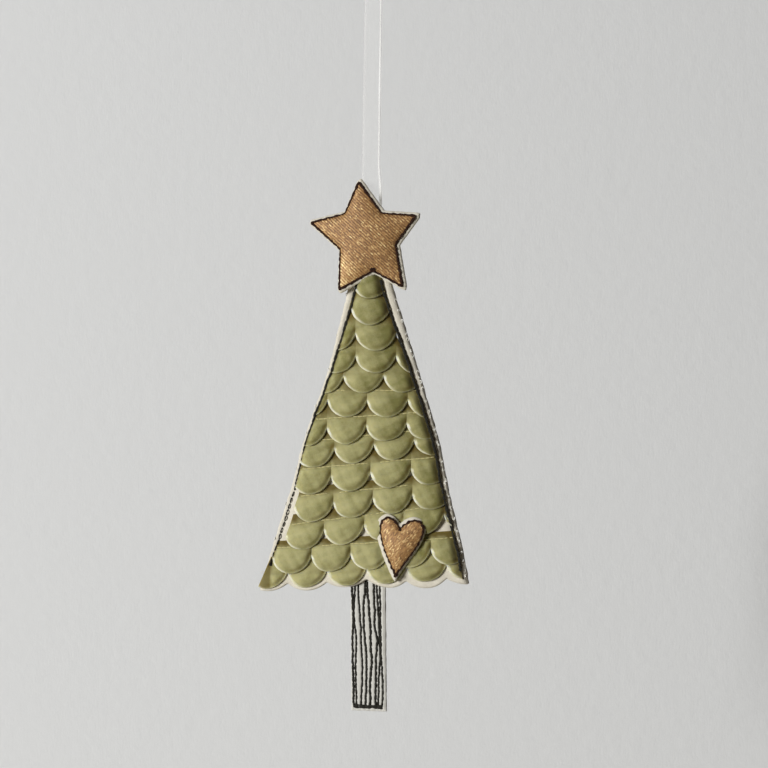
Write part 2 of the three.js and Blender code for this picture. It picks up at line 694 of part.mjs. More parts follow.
// Moves every side of a closed outline outwards by the same distance, and drops the points that a notch crowds out
function offsetOutline(points, distance) {
  const outwards = THREE.ShapeUtils.isClockWise(points) ? -1 : 1;
  const crowded = Math.abs(distance) * CROWDED_SHARE;
  const moved = points.map((point, index) => {
    const before = points[(index + points.length - 1) % points.length];
    const after = points[(index + 1) % points.length];
    const inDirection = point.clone().sub(before).normalize();
    const outDirection = after.clone().sub(point).normalize();
    const inNormal = new THREE.Vector2(inDirection.y, -inDirection.x).multiplyScalar(outwards);
    const outNormal = new THREE.Vector2(outDirection.y, -outDirection.x).multiplyScalar(outwards);
    const mitre = inNormal.clone().add(outNormal).normalize();
    return point.clone().addScaledVector(mitre, distance / mitre.dot(inNormal));
  });
  return moved.filter((point) => distanceToOutline(point, points) >= crowded);
}

// A cap of cloth or a pad, in rings that shrink towards the middle, with a front and a back surface
function puffedSolid(points, centre, backAt, frontAt) {
  const rings = PUFF_RING_SHARES.map(([size, rise]) => points.map((point) => {
    const place = centre.clone().lerp(point, size);
    return {
      front: new THREE.Vector3(place.x, frontAt(rise), place.y),
      back: new THREE.Vector3(place.x, backAt(rise), place.y),
    };
  }));
  const frontTop = new THREE.Vector3(centre.x, frontAt(1), centre.y);
  const backTop = new THREE.Vector3(centre.x, backAt(1), centre.y);
  const triangles = [];
  const count = points.length;
  for (let i = 0; i < count; i += 1) {
    const next = (i + 1) % count;
    for (let ring = 0; ring + 1 < rings.length; ring += 1) {
      const [a, b] = [rings[ring][i], rings[ring][next]];
      const [c, d] = [rings[ring + 1][next], rings[ring + 1][i]];
      triangles.push(a.front, b.front, c.front, a.front, c.front, d.front);
      triangles.push(a.back, c.back, b.back, a.back, d.back, c.back);
    }
    const last = rings[rings.length - 1];
    triangles.push(last[i].front, last[next].front, frontTop);
    triangles.push(last[i].back, backTop, last[next].back);
    const [edge, edgeNext] = [rings[0][i], rings[0][next]];
    triangles.push(edge.front, edge.back, edgeNext.back, edge.front, edgeNext.back, edgeNext.front);
  }
  if (THREE.ShapeUtils.isClockWise(points)) {
    triangles.reverse();
  }
  return new THREE.BufferGeometry().setFromPoints(triangles);
}

function withMiddles(points) {
  return points.flatMap((point, index) => {
    const after = points[(index + 1) % points.length];
    return [point, point.clone().lerp(after, 0.5)];
  });
}

function addPuffedShape(name, points, centre, seatY, puff, margin, shift, knotPoint) {
  const finePoints = withMiddles(points);
  const backingPoints = offsetOutline(points, margin).map((point) => point.clone().add(shift));
  addPiece(`${name}_backing`, slab(new THREE.Shape(backingPoints), seatY, FELT_THICKNESS), felt);
  const clothBackY = seatY - FELT_THICKNESS - LAYER_GAP;
  const padPoints = finePoints.map((point) => centre.clone().lerp(point, WADDING_RING_SHARE));
  const padPuff = puff - 2 * LAYER_GAP - CLOTH_THICKNESS;
  addPiece(`${name}_wadding`, puffedSolid(
    padPoints,
    centre,
    () => clothBackY,
    (rise) => clothBackY - CLOTH_THICKNESS / 2 - padPuff * rise,
  ), waddingFill);
  addPiece(`${name}_face`, puffedSolid(
    offsetOutline(finePoints, CLOTH_MARGIN),
    centre,
    (rise) => clothBackY - (rise > 0 ? CLOTH_THICKNESS / 2 + LAYER_GAP : 0) - padPuff * rise,
    (rise) => clothBackY - CLOTH_THICKNESS - puff * rise,
  ), goldCloth);
  const ring = new THREE.Shape(offsetOutline(points, THREAD_WIDTH / 2));
  ring.holes.push(new THREE.Path(offsetOutline(points, -THREAD_WIDTH / 2).reverse()));
  const threadBackY = clothBackY - CLOTH_THICKNESS - LAYER_GAP;
  const line = solidOf(slab(ring, threadBackY, THREAD_HEIGHT));
  const lineKnot = knot(knotPoint.x, knotPoint.y, threadBackY);
  addPiece(`${name}_outline_stitch`, geometryOf(line.add(lineKnot)), brownThread);
}

// The star lies over the first row's top edge; the heart lies over the lobes it presses flat

const starCentre = new THREE.Vector2(STAR_CENTRE_X, HINGE_Z - STAR_CENTRE_DROP);
const starPoints = STAR_POINT_SHARES.map(([direction, reach]) => {
  const angle = THREE.MathUtils.degToRad(direction);
  const outward = new THREE.Vector2(Math.cos(angle), Math.sin(angle));
  return starCentre.clone().add(outward.multiplyScalar(reach * STAR_RADIUS));
});

// The star's backing seats on the strips under its lower sides, or on the first strip's band where those are clear
function starSeatY() {
  const drop = STAR_BACKING_MARGIN + 2 * STAR_BACKING_SHIFT;
  const [rightTip, notch, leftTip] = [starPoints[4], starPoints[5], starPoints[6]];
  const fronts = [panelFrontAt(0, trimTopAt(trimRows[0], 0)) - LAYER_GAP - TRIM_THICKNESS];
  for (let step = 0; step <= STAR_SEAT_STEPS; step += 1) {
    [rightTip, leftTip].forEach((tip) => {
      const place = notch.clone().lerp(tip, step / STAR_SEAT_STEPS);
      fronts.push(...trimFrontsAt(place.x, place.y - drop));
    });
  }
  return Math.min(...fronts) - SEAM_GAP;
}

const STAR_SEAT_Y = starSeatY();
const HEART_SEAT_Y = Math.min(...heartPoints.map((point) => panelFrontAt(point.x, point.y)))
  - LAYER_GAP - TRIM_LIFT - TRIM_THICKNESS - SEAM_GAP;

addPuffedShape(
  'star',
  starPoints,
  starCentre,
  STAR_SEAT_Y,
  STAR_PUFF,
  STAR_BACKING_MARGIN,
  new THREE.Vector2(STAR_BACKING_SHIFT, -STAR_BACKING_SHIFT),
  starPoints[5],
);
addPuffedShape(
  'heart',
  heartPoints,
  heartCentre,
  HEART_SEAT_Y,
  HEART_PUFF,
  HEART_BACKING_MARGIN,
  new THREE.Vector2(-HEART_BACKING_SHIFT, 0),
  heartPoints[heartPoints.length / 2],
);

// Trunk: two cloths with a strip of wadding between them, in the wadding's place between the panels

const TRUNK_DEPTH = 2 * TRUNK_CLOTH + TRUNK_WADDING + 2 * TRUNK_LAYER_GAP;
const TRUNK_BACK_Y = (WADDING_FRONT_Y + WADDING_BACK_Y) / 2 + TRUNK_DEPTH / 2;
const TRUNK_WADDING_BACK_Y = TRUNK_BACK_Y - TRUNK_CLOTH - TRUNK_LAYER_GAP;
const TRUNK_FRONT_BACK_Y = TRUNK_WADDING_BACK_Y - TRUNK_WADDING - TRUNK_LAYER_GAP;

addPiece('trunk_back', slab(trunkShape(0, 0), TRUNK_BACK_Y, TRUNK_CLOTH), trunkCloth);
addPiece(
  'trunk_wadding',
  slab(trunkShape(TRUNK_WADDING_INSET, TRUNK_WADDING_INSET), TRUNK_WADDING_BACK_Y, TRUNK_WADDING),
  waddingFill,
);
addPiece('trunk_front', slab(trunkShape(0, 0), TRUNK_FRONT_BACK_Y, TRUNK_CLOTH), trunkCloth);

function trunkStitching() {
  const backY = TRUNK_FRONT_BACK_Y - TRUNK_CLOTH - TRUNK_LAYER_GAP;
  const topZ = heightAt(1) - HEM_MARGIN;
  const footZ = TRUNK_FOOT_Z + TRUNK_STITCH_END_INSET;
  const acrossAt = (share, z) => trunkCentreAt(z) + (share - 0.5) * TRUNK_WIDTH;
  const lines = TRUNK_STITCH_SHARES.map(([topShare, footShare], index) => {
    const centreAt = (z) => {
      const down = (topZ - z) / (topZ - footZ);
      const waves = TRUNK_WAVES + index % TRUNK_WAVE_KINDS;
      const wander = Math.sin(down * Math.PI * waves + index) * Math.sin(down * Math.PI);
      return acrossAt(THREE.MathUtils.lerp(topShare, footShare, down), z) + TRUNK_WANDER * wander;
    };
    const shape = threadShape(centreAt, topZ, footZ - TRUNK_STITCH_WIDTH / 2, TRUNK_STITCH_WIDTH, TRUNK_STITCH_STEPS);
    return solidOf(slab(shape, backY, THREAD_HEIGHT));
  });
  const firstShare = TRUNK_STITCH_SHARES[0][1];
  const lastShare = TRUNK_STITCH_SHARES[TRUNK_STITCH_SHARES.length - 1][1];
  const footLine = solidOf(slab(
    rectangle(
      acrossAt(firstShare, footZ) - TRUNK_STITCH_WIDTH / 2,
      acrossAt(lastShare, footZ) + TRUNK_STITCH_WIDTH / 2,
      footZ - TRUNK_STITCH_WIDTH / 2,
      footZ + TRUNK_STITCH_WIDTH / 2,
    ),
    backY,
    THREAD_HEIGHT,
  ));
  const knots = [firstShare, lastShare].map((share) => knot(acrossAt(share, footZ), footZ, backY));
  return geometryOf([...lines, ...knots].reduce((joined, piece) => joined.add(piece), footLine));
}

addPiece('trunk_stitching', trunkStitching(), blackThread);

// Ribbon: one sheer strip, up from the tree, over the hook and down again, drawn from the side

const ARCH_RADIUS = (LOOP_TOP_SPAN + RIBBON_THICKNESS) / 2;
const ARCH_CENTRE_Z = -LOOP_TOP_SPAN / 2;
const RIBBON_FOOT_Z = HINGE_Z + FOLD_ROOM;
const ARCH_FOOT_Z = -LOOP_ARCH_HEIGHT;

// The run from the foot to where it meets the arch, as a point and a slope
const runSpan = Math.hypot(LOOP_FOOT_SPAN / 2, ARCH_CENTRE_Z - RIBBON_FOOT_Z);
const runAngle = Math.atan2(LOOP_FOOT_SPAN / 2, ARCH_CENTRE_Z - RIBBON_FOOT_Z);
const leanAngle = Math.asin(ARCH_RADIUS / runSpan) - runAngle;

// Distance of a face of the far run from the middle plane, for a face that far outside the strip's centre line
function runOffsetAt(z, outside) {
  return LOOP_FOOT_SPAN / 2 + (z - RIBBON_FOOT_Z) * Math.tan(leanAngle) + outside / Math.cos(leanAngle);
}

function plyShape(side) {
  const half = RIBBON_THICKNESS / 2;
  const topZ = ARCH_FOOT_Z - SEAM_GAP;
  return new THREE.Shape([
    new THREE.Vector2(side * runOffsetAt(RIBBON_FOOT_Z, -half), RIBBON_FOOT_Z),
    new THREE.Vector2(side * runOffsetAt(RIBBON_FOOT_Z, half), RIBBON_FOOT_Z),
    new THREE.Vector2(side * runOffsetAt(topZ, half), topZ),
    new THREE.Vector2(side * runOffsetAt(topZ, -half), topZ),
  ]);
}

function archShape() {
  const half = RIBBON_THICKNESS / 2;
  const arc = (radius) => {
    const points = [];
    for (let step = 0; step <= LOOP_ARC_STEPS; step += 1) {
      const angle = THREE.MathUtils.lerp(-leanAngle, Math.PI + leanAngle, step / LOOP_ARC_STEPS);
      points.push(new THREE.Vector2(radius * Math.cos(angle), ARCH_CENTRE_Z + radius * Math.sin(angle)));
    }
    return points;
  };
  return new THREE.Shape([
    new THREE.Vector2(runOffsetAt(ARCH_FOOT_Z, half), ARCH_FOOT_Z),
    ...arc(ARCH_RADIUS + half),
    new THREE.Vector2(-runOffsetAt(ARCH_FOOT_Z, half), ARCH_FOOT_Z),
    new THREE.Vector2(-runOffsetAt(ARCH_FOOT_Z, -half), ARCH_FOOT_Z),
    ...arc(ARCH_RADIUS - half).reverse(),
    new THREE.Vector2(runOffsetAt(ARCH_FOOT_Z, -half), ARCH_FOOT_Z),
  ]);
}

addPiece('ribbon_loop', ribbonStrip(archShape()), organza);
addPiece('ribbon_front_ply', ribbonStrip(plyShape(-1)), organza);
addPiece('ribbon_back_ply', ribbonStrip(plyShape(1)), organza);

// The ribbon's two ends, laid together and sewn in between the front panel and the back one
const tailTopZ = TREE_TOP_Z + TAIL_PROUD;
addPiece('ribbon_tail', ribbonStrip(new THREE.Shape([
  new THREE.Vector2(-RIBBON_THICKNESS, HINGE_Z - RIBBON_TAIL_LENGTH),
  new THREE.Vector2(RIBBON_THICKNESS, HINGE_Z - RIBBON_TAIL_LENGTH),
  new THREE.Vector2(RIBBON_THICKNESS, tailTopZ),
  new THREE.Vector2(-RIBBON_THICKNESS, tailTopZ),
])), organza);

export default tree;
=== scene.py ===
import math

import bmesh
import bpy
import numpy as np
from mathutils import Matrix, Vector, geometry


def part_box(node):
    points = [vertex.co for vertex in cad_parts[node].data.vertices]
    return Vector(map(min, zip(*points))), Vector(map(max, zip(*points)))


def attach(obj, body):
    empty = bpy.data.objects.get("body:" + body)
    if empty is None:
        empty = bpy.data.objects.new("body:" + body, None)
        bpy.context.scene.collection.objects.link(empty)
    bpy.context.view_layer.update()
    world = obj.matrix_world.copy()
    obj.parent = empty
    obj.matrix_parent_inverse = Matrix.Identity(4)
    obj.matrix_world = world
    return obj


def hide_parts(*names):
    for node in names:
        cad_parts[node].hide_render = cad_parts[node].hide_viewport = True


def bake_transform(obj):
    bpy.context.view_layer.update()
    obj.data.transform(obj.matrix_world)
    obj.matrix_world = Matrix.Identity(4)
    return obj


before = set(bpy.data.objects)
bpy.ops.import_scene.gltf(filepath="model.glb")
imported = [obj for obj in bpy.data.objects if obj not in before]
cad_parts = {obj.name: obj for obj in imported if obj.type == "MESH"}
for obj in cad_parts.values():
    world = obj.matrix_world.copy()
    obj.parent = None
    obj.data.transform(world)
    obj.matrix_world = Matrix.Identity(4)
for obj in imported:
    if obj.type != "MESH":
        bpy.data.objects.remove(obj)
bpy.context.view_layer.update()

# A hanging felt tree with scalloped velvet rows, a gold star and heart, a stitched trunk and a sheer ribbon.
# Sizes below are in millimetres and go to metres where a mesh is made. +Z is up and the front looks along -Y.
MM = 0.001
TURN = 2 * math.pi

# The camera: where the middle of its picture falls, and how wide the picture is there
VIEW_CENTRE = (6.7, 0, -156.75)
VIEW_WIDTH = 289.5
CAMERA_AZIMUTH = math.radians(8)
CAMERA_ROLL = math.radians(0.842)
LENS = 85
SENSOR = 36

# Ribbon
RIBBON_WIDTH = 6.8
RIBBON_THICKNESS = 0.14
RIBBON_GATHER_SHARE = 0.03
GATHER_FOOT_Z = -80
RIBBON_ASKEW = 0.48
SELVEDGE = 0.85
LEFT_SELVEDGE_COVER = 0.07
RIGHT_SELVEDGE_COVER = 0.32
RIBBON_FLARE = 1
FLARE_START_Z = -72
FLARE_RUN = 14
RIBBON_CUP = 0.25
RIBBON_WAVE = 0.12
LOOP_TOP_SPAN = 8
LOOP_FOOT_SPAN = 0.7
HINGE_Z = -102
RIBBON_END_INSET = 0.1
RIBBON_END_FOLD = 0.12

# Tree
TREE_HEIGHT = 130
TREE_TOP_Z = -102.8
TREE_FOOT_WIDTH = 79.8
FELT_THICKNESS = 1
PANEL_FRONT_Y = -1.8
PUFF = 1.5
PUFF_START_SHARE = 0.08
PUFF_RUN_SHARE = 0.72
MARGIN_ROUND = 1.3
HEM_ROUND = 0.9
RIGHT_FALL_SHARE = 0.5
STITCH_DRAW = 0.4
STITCH_DRAW_WIDTH = 1
# The unevenness of hand-cut edges, and of the cloth's own surface
FELT_ROUGHNESS = 0.16
FELT_LUMPS = 0.1
FELT_TUFTS = 0.07
PLAIN_FELT_LUMPS = 0.05
BACK_ROUND = 0.4
PATCH_ROUND = 0.45
WADDING_ROUGHNESS = 0.3
WADDING_INSET = 0.25
WADDING_ROUND = 0.5
WADDING_TEAR = 0.14
# The wisps of wadding down each side, and how far down the tree they start and stop
LEFT_TUFTS = 9
RIGHT_TUFTS = 34
TUFT_DOWN_SHARES = (0.17, 0.97)
TUFT_WIND = 0.3
TUFT_RADIUS = 0.17
# How far down the tree, and how far out as a share of half the foot's width
LEFT_EDGE_SHARES = (
    (0, 0.087), (0.16, 0.2), (0.378, 0.365), (0.577, 0.59),
    (0.729, 0.71), (0.872, 0.861), (0.945, 0.95), (1, 1),
)
RIGHT_EDGE_SHARES = (
    (0, 0.097), (0.16, 0.262), (0.378, 0.495), (0.577, 0.698),
    (0.729, 0.8), (0.872, 0.92), (0.945, 0.965), (1, 1),
)
LEFT_STITCH_SHARES = (
    (0, 0.03), (0.16, 0.119), (0.378, 0.322), (0.577, 0.556),
    (0.729, 0.672), (0.872, 0.813), (0.945, 0.895),
)
RIGHT_STITCH_SHARES = (
    (0, 0.04), (0.16, 0.166), (0.378, 0.43), (0.577, 0.648),
    (0.729, 0.747), (0.872, 0.876), (0.945, 0.93),
)
BEND_EASE_SHARE = 0.03

# Scalloped velvet
LOBE_PITCH = 15.1
LOBE_DEPTH = 6.3
STRIP_BAND = 4.1
STRIP_THICKNESS = 0.5
STRIP_GAP = 0.15
HEADING_THICKNESS = 0.35
HEADING_LIFT = 0.4
STRIP_LIFT = 0.45
LIFT_RUN = 1.8
LOBE_CROWN = 1.35
CROWN_RUN = 2.4
LOBE_SHOULDER = 3.2
LOBE_DOME_POWER = 2.2
LOBE_UNEVENNESS = 0.22
SEAM_HOLLOW = 0.1
SEAM_WIDTH = 0.35
VELVET_CREASE = 0.09
STRIP_ROUND = 0.25
STRIP_RAGGED_CUT = 0.06
RIM_WIDTH = 0.5
RIM_HEIGHT = 0.16
SIDE_PINCH = 3
STRIP_OVERHANG = 0.35
# How far right of the felt's left and right edges the lowest strip's foot is cut
HEM_ROW_INSETS = (0.3, -1.4)
HAND_CUT = 0.3
# For each row: how far down the tree it reaches, where a cusp falls as a share of the pitch, how much it
# climbs to the right, how much of a pitch its left end stops short, and how much of the cusps above it its
# heading fills
ROW_SHARES = (
    (0.168, -0.394, 0, 0, 0.5),
    (0.247, -0.393, 0.02, 0, 1),
    (0.319, -0.256, 0.02, 0, 1),
    (0.385, -0.23, 0.01, 0, 1),
    (0.442, 0.464, 0.03, 0, 1),
    (0.512, 0.068, 0.01, 0, 1),
    (0.586, 0.05, 0.077, 0, 0.9),
    (0.643, 0.258, 0.12, 0, 1),
    (0.723, 0.177, 0.108, 0.05, 0.8),
    (0.799, 0.24, 0.124, 0.19, 0.5),
    (0.873, 0.028, 0.15, 0.2, 0.6),
    (0.953, -0.294, 0.084, 0, 0.35),
    (0.997, 0.095, 0.075, 0, 1),
)
# The rows whose machine stitching shows
SEEN_STITCHING_FROM = 5
SEEN_STITCHING_TO = 12
HEM_MARGIN = 1.45
HEM_LOBE_DEPTH = 2.9
HEM_CLIMB_SHARE = 0.049
# The hem is cut higher above the trunk and at its right end
HEM_RISE = 1.1
HEM_RISE_X = -1
HEM_RISE_WIDTH = 11
HEM_END_RISE_X = (27, 36)

# Thread
SIDE_THREAD_RADIUS = 0.52
STAR_THREAD_RADIUS = 0.36
HEART_THREAD_RADIUS = 0.42
TRUNK_THREAD_RADIUS = 0.5
STRIP_THREAD_RADIUS = 0.25
KNOT_THREAD_RADIUS = 0.32
KNOT_LIFT = 1.05
STITCH_LENGTH = 2.3
STRIP_STITCH_LENGTH = 1.9
STRIP_STITCH_INSET = 0.3
SIDE_THREAD_STEP = 0.28
THREAD_STEP = 0.25
# How far the two strands of a side lie from its middle, and how thick each is
SIDE_STRANDS = ((-0.16, 1), (0.16, 0.8))
LEFT_STITCH_SINK = 1.3
RIGHT_STITCH_SINK = 0.25
LEFT_THREAD_THINNING = 0.45
# How far below the hook the left thread's strands close up and thin, and where the side stitches sink deeper
STRANDS_CLOSE_DEPTHS = (165, 190)
STITCHES_SINK_DEPTHS = (175, 205)
KNOT_TURNS = 2.6
SIDE_KNOT_RADIUS = 0.55

# Star and heart
STAR_RADIUS = 21.9
STAR_CENTRE = (-0.5, -102.6)
# The direction of each tip and notch in degrees, and how far out it is as a share of the radius
STAR_POINT_SHARES = (
    (97.5, 1), (58.7, 0.523), (25.1, 0.968), (-9.3, 0.529), (-51.1, 1.045),
    (-75.2, 0.556), (-117, 0.982), (-158.3, 0.464), (163.4, 1), (129.5, 0.565),
)
# The place in that list of the notch that holds the star's knot
STAR_KNOT_POINT = 5
STAR_FELT_MARGIN = 1.1
STAR_FELT_SHIFT = (0.5, 0)
STAR_PUFF = 2.2
STAR_SCALLOP = 0.12
STAR_KNOT_RADIUS = 1.15
STAR_KNOT_RISE = 0.3
STAR_CLOTH_SPACING = 0.75
HEART_WIDTH = 16.3
HEART_HEIGHT = 21.8
HEART_NOTCH_DEPTH = 3.9
HEART_TILT = math.radians(4.8)
HEART_NOTCH = (14.4, -210.8)
HEART_LEFT_SHARE = 0.46
# The heart's curves from its notch: two control points and the end of each, as shares of its widths
# and heights
HEART_CURVE_SHARES = (
    ((-0.16, 0.5), (-0.38, 1), (-0.62, 1)),
    ((-0.9, 1), (-1.04, 0.45), (-1, -0.02)),
    ((-0.92, -0.36), (-0.4, -0.68), (0, -1)),
    ((0.32, -0.66), (0.86, -0.36), (1, -0.02)),
    ((1.04, 0.45), (0.9, 1), (0.62, 1)),
    ((0.38, 1), (0.16, 0.5), (0, 0)),
)
HEART_FELT_MARGIN = 1.15
HEART_FELT_SHIFT = (-0.4, 0)
HEART_PUFF = 1.8
HEART_SCALLOP = 0.34
NOTCH_KNOT_RADIUS = 0.6
TIP_KNOT_RADIUS = 0.5
NOTCH_KNOT_DROP = 0.5
TIP_KNOT_RISE = 0.3
HEART_CLOTH_SPACING = 0.5
HEART_PRESS = 0.8
HEART_PRESS_RUN = 3
PUFF_SHOULDER = 0.62
STUFFING_SHARE = 0.93
METAL_THREAD_WIDTH = 0.36

# Trunk
TRUNK_WIDTH = 13.4
TRUNK_LENGTH = 47.3
TRUNK_TUCK = 9
TRUNK_X = 1.75
TRUNK_LEAN = 1.1
TRUNK_STITCH_END_INSET = 1.6
TRUNK_STITCH_SINK = 0.16
TRUNK_QUILT = 0.3
TRUNK_QUILT_WIDTH = 0.45
TRUNK_EDGE_ROUND = 0.3
# The wandering lines of stitching, each as places down the trunk and across it
TRUNK_LINE_SHARES = (
    ((0, 0.04), (0.12, 0.07), (0.3, 0.08), (0.38, 0.055), (0.55, 0.05), (1, 0.075)),
    ((0, 0.14), (0.12, 0.1), (0.3, 0.1), (0.36, 0.15), (0.5, 0.165), (0.6, 0.13), (1, 0.15)),
    ((0, 0.225), (0.2, 0.26), (0.35, 0.3), (0.45, 0.285), (0.6, 0.33), (0.85, 0.31), (1, 0.27)),
    ((0, 0.43), (0.1, 0.38), (0.3, 0.37), (0.5, 0.43), (0.65, 0.45), (1, 0.41)),
    ((0, 0.48), (0.2, 0.54), (0.35, 0.57), (0.45, 0.56), (0.6, 0.6), (0.8, 0.54), (1, 0.54)),
    ((0, 0.67), (0.2, 0.69), (0.34, 0.68), (0.4, 0.77), (0.48, 0.74), (0.65, 0.71), (1, 0.69)),
    ((0, 0.75), (0.17, 0.79), (0.4, 0.82), (0.57, 0.84), (0.75, 0.79), (1, 0.77)),
    ((0, 0.84), (0.2, 0.85), (0.4, 0.85), (0.57, 0.86), (0.72, 0.89), (0.85, 0.91), (1, 0.87)),
)
TRUNK_LINE_EASE_SHARE = 0.04

# Stage and light
WINDOW_PLACE = (-2350, -3100, 350)
WINDOW_WATTS = 164
REAR_PLACE = (1900, 2700, 1100)
REAR_WATTS = 130
LAMP_SIZE = (980, 1160)
FILL_STRENGTH = 0.025
WALL_Y = 330
WALL_REACH = 1500
FLOOR_Z = -1000
FLOOR_REACH = 850
STROKE_SHARE = 0.25


# Numbers and small shapes

def ease(value, start, end):
    """Runs smoothly from 0 at start to 1 at end."""
    share = np.clip((value - start) / (end - start), 0, 1)
    return share * share * (3 - 2 * share)


def ripple(along, seed, wave):
    """A hand-made unevenness from -1 to 1, whose usual wave is that many millimetres long."""
    turn = TURN * np.asarray(along) / wave
    return (np.sin(turn + seed) + np.sin(1.73 * turn + 2.1 * seed) + np.sin(0.57 * turn + 3.7 * seed)) / 3


def patches(x, z, seed, wave):
    """The same unevenness over a surface."""
    return (ripple(x + 0.6 * z, seed, wave) + ripple(z - 0.5 * x, seed + 1.9, 1.3 * wave)) / 2


def share_at(table, down, spread=BEND_EASE_SHARE):
    """A line's place across, read at any place down it and eased round its bends."""
    places, outs = zip(*table)
    return np.mean([np.interp(down + step * spread / 2, places, outs) for step in (-2, -1, 0, 1, 2)], axis=0)


def down_share(z):
    return (TREE_TOP_Z - z) / TREE_HEIGHT


def height_at(down):
    return TREE_TOP_Z - down * TREE_HEIGHT


def side_lines(left_table, right_table, z):
    """Where a line down the left side and one down the right side cross a height."""
    down = down_share(z)
    half = TREE_FOOT_WIDTH / 2
    return -share_at(left_table, down) * half, share_at(right_table, down) * half


def edge_lines(z):
    return side_lines(LEFT_EDGE_SHARES, RIGHT_EDGE_SHARES, z)


def stitch_lines(z):
    return side_lines(LEFT_STITCH_SHARES, RIGHT_STITCH_SHARES, z)


def from_lobe(x, cusp_x):
    """How far right of the middle of its lobe a place lies."""
    return np.mod(x - cusp_x, LOBE_PITCH) - LOBE_PITCH / 2


def arc_radius(chord, sagitta):
    return (chord * chord / 4 + sagitta * sagitta) / (2 * sagitta)


# Meshes

def add_piece(name, points, faces, finish, body="tree", cloth_map=None, marks=None):
    """Makes a smooth closed mesh, rides it on its body and gives it its finish. cloth_map has a place on the
    flat cloth for each point, and marks have a value for each point that a material reads."""
    mesh = bpy.data.meshes.new(name)
    mesh.from_pydata((np.asarray(points) * MM).tolist(), [], [list(map(int, face)) for face in faces])
    if cloth_map is not None:
        corners = np.zeros(len(mesh.loops), np.int32)
        mesh.loops.foreach_get("vertex_index", corners)
        mesh.uv_layers.new(name="cloth").data.foreach_set("uv", (np.asarray(cloth_map)[corners] * MM).ravel())
    for mark, values in (marks or {}).items():
        attribute = mesh.attributes.new(mark, "FLOAT", "POINT")
        attribute.data.foreach_set("value", np.asarray(values, float).ravel())
    mesh.polygons.foreach_set("use_smooth", np.ones(len(mesh.polygons), bool))
    mesh.materials.append(finish)
    mesh.update()
    piece = bpy.data.objects.new(name, mesh)
    bpy.context.scene.collection.objects.link(piece)
    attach(piece, body)
    return piece


def close_grids(front, back):
    """Points and faces of a cloth between two grids of points, columns to the right by rows down."""
    columns, rows = front.shape[:2]
    count = columns * rows
    index = np.arange(count).reshape(columns, rows)
    quads = np.stack([index[:-1, :-1], index[:-1, 1:], index[1:, 1:], index[1:, :-1]], axis=-1).reshape(-1, 4)
    border = np.concatenate([index[0, :], index[1:, -1], index[-1, -2::-1], index[-2:0:-1, 0]])
    following = np.roll(border, -1)
    walls = np.stack([border, border + count, following + count, following], axis=-1)
    points = np.concatenate([front.reshape(-1, 3), back.reshape(-1, 3)])
    return points, np.concatenate([quads, quads[:, ::-1] + count, walls])


def grid_of(x, y, z):
    return np.stack(np.broadcast_arrays(x, y, z), axis=-1).astype(float)


def rounded_steps(first, last, count, edge):
    """Places from first to last, evenly spread but close together in the last few tenths at each edge."""
    near = np.array([0, 0.06, 0.18, 0.36, 0.6, 1]) * edge
    inner = np.linspace(first + edge, last - edge, count)
    return np.concatenate([first + near[:-1], inner, (last - near[:-1])[::-1]])


def edge_drop(distance, radius):
    """How far a rounded edge falls back at a distance from the cut."""
    share = 1 - np.clip(distance / radius, 0, 1)
    return radius * (1 - np.sqrt(1 - share * share))


# Flat outlines: the patch inside one is filled with even triangles

def offset_outline(outline, distance):
    """Moves a counter-clockwise outline outwards, and drops the points that a notch crowds out."""
    before = outline - np.roll(outline, 1, axis=0)
    after = np.roll(outline, -1, axis=0) - outline
    normals = [np.stack([side[:, 1], -side[:, 0]], axis=1) / np.linalg.norm(side, axis=1)[:, None]
               for side in (before, after)]
    mitre = normals[0] + normals[1]
    mitre /= np.linalg.norm(mitre, axis=1)[:, None]
    stretch = np.minimum(1 / np.maximum((mitre * normals[0]).sum(axis=1), 0.1), 2)
    moved = outline + mitre * (distance * stretch)[:, None]
    return moved[distance_to(moved, outline) >= abs(distance) * 0.95]


def distance_to(places, outline):
    """The distance from each place to the nearest side of a closed outline."""
    sides = np.roll(outline, -1, axis=0) - outline
    offset = places[:, None, :] - outline[None, :, :]
    along = np.clip((offset * sides).sum(axis=2) / (sides * sides).sum(axis=1), 0, 1)
    return np.linalg.norm(offset - along[:, :, None] * sides, axis=2).min(axis=1)


def is_inside(places, outline):
    ends = np.roll(outline, -1, axis=0)
    x, z = places[:, 0][:, None], places[:, 1][:, None]
    spans = (outline[:, 1] > z) != (ends[:, 1] > z)
    rise = np.where(ends[:, 1] == outline[:, 1], 1, ends[:, 1] - outline[:, 1])
    crossing = (ends[:, 0] - outline[:, 0]) * (z - outline[:, 1]) / rise + outline[:, 0]
    return (spans & (x < crossing)).sum(axis=1) % 2 == 1


def even_outline(outline, spacing):
    """The same closed outline with its points evenly spaced."""
    closed = np.vstack([outline, outline[:1]])
    reach = np.concatenate([[0], np.cumsum(np.linalg.norm(np.diff(closed, axis=0), axis=1))])
    places = np.linspace(0, reach[-1], max(8, round(reach[-1] / spacing)), endpoint=False)
    return np.stack([np.interp(places, reach, closed[:, axis]) for axis in (0, 1)], axis=1)


def fill_outline(outline, spacing):
    """Points and triangles of the patch inside an outline, whose own points come first and in order."""
    low, high = outline.min(axis=0), outline.max(axis=0)
    rows = np.arange(low[1], high[1], spacing * math.sqrt(3) / 2)
    inner = np.array([
        (x + (spacing / 2 if number % 2 else 0), z)
        for number, z in enumerate(rows) for x in np.arange(low[0], high[0], spacing)
    ])
    inner = inner[is_inside(inner, outline)]
    inner = inner[distance_to(inner, outline) > 0.55 * spacing]
    points = [Vector(point) for point in np.concatenate([outline, inner])]
    sides = [(number, (number + 1) % len(outline)) for number in range(len(outline))]
    made, _, faces, _, _, _ = geometry.delaunay_2d_cdt(points, sides, [], 1, 1e-7)
    return np.array([tuple(point) for point in made]), np.array(faces)


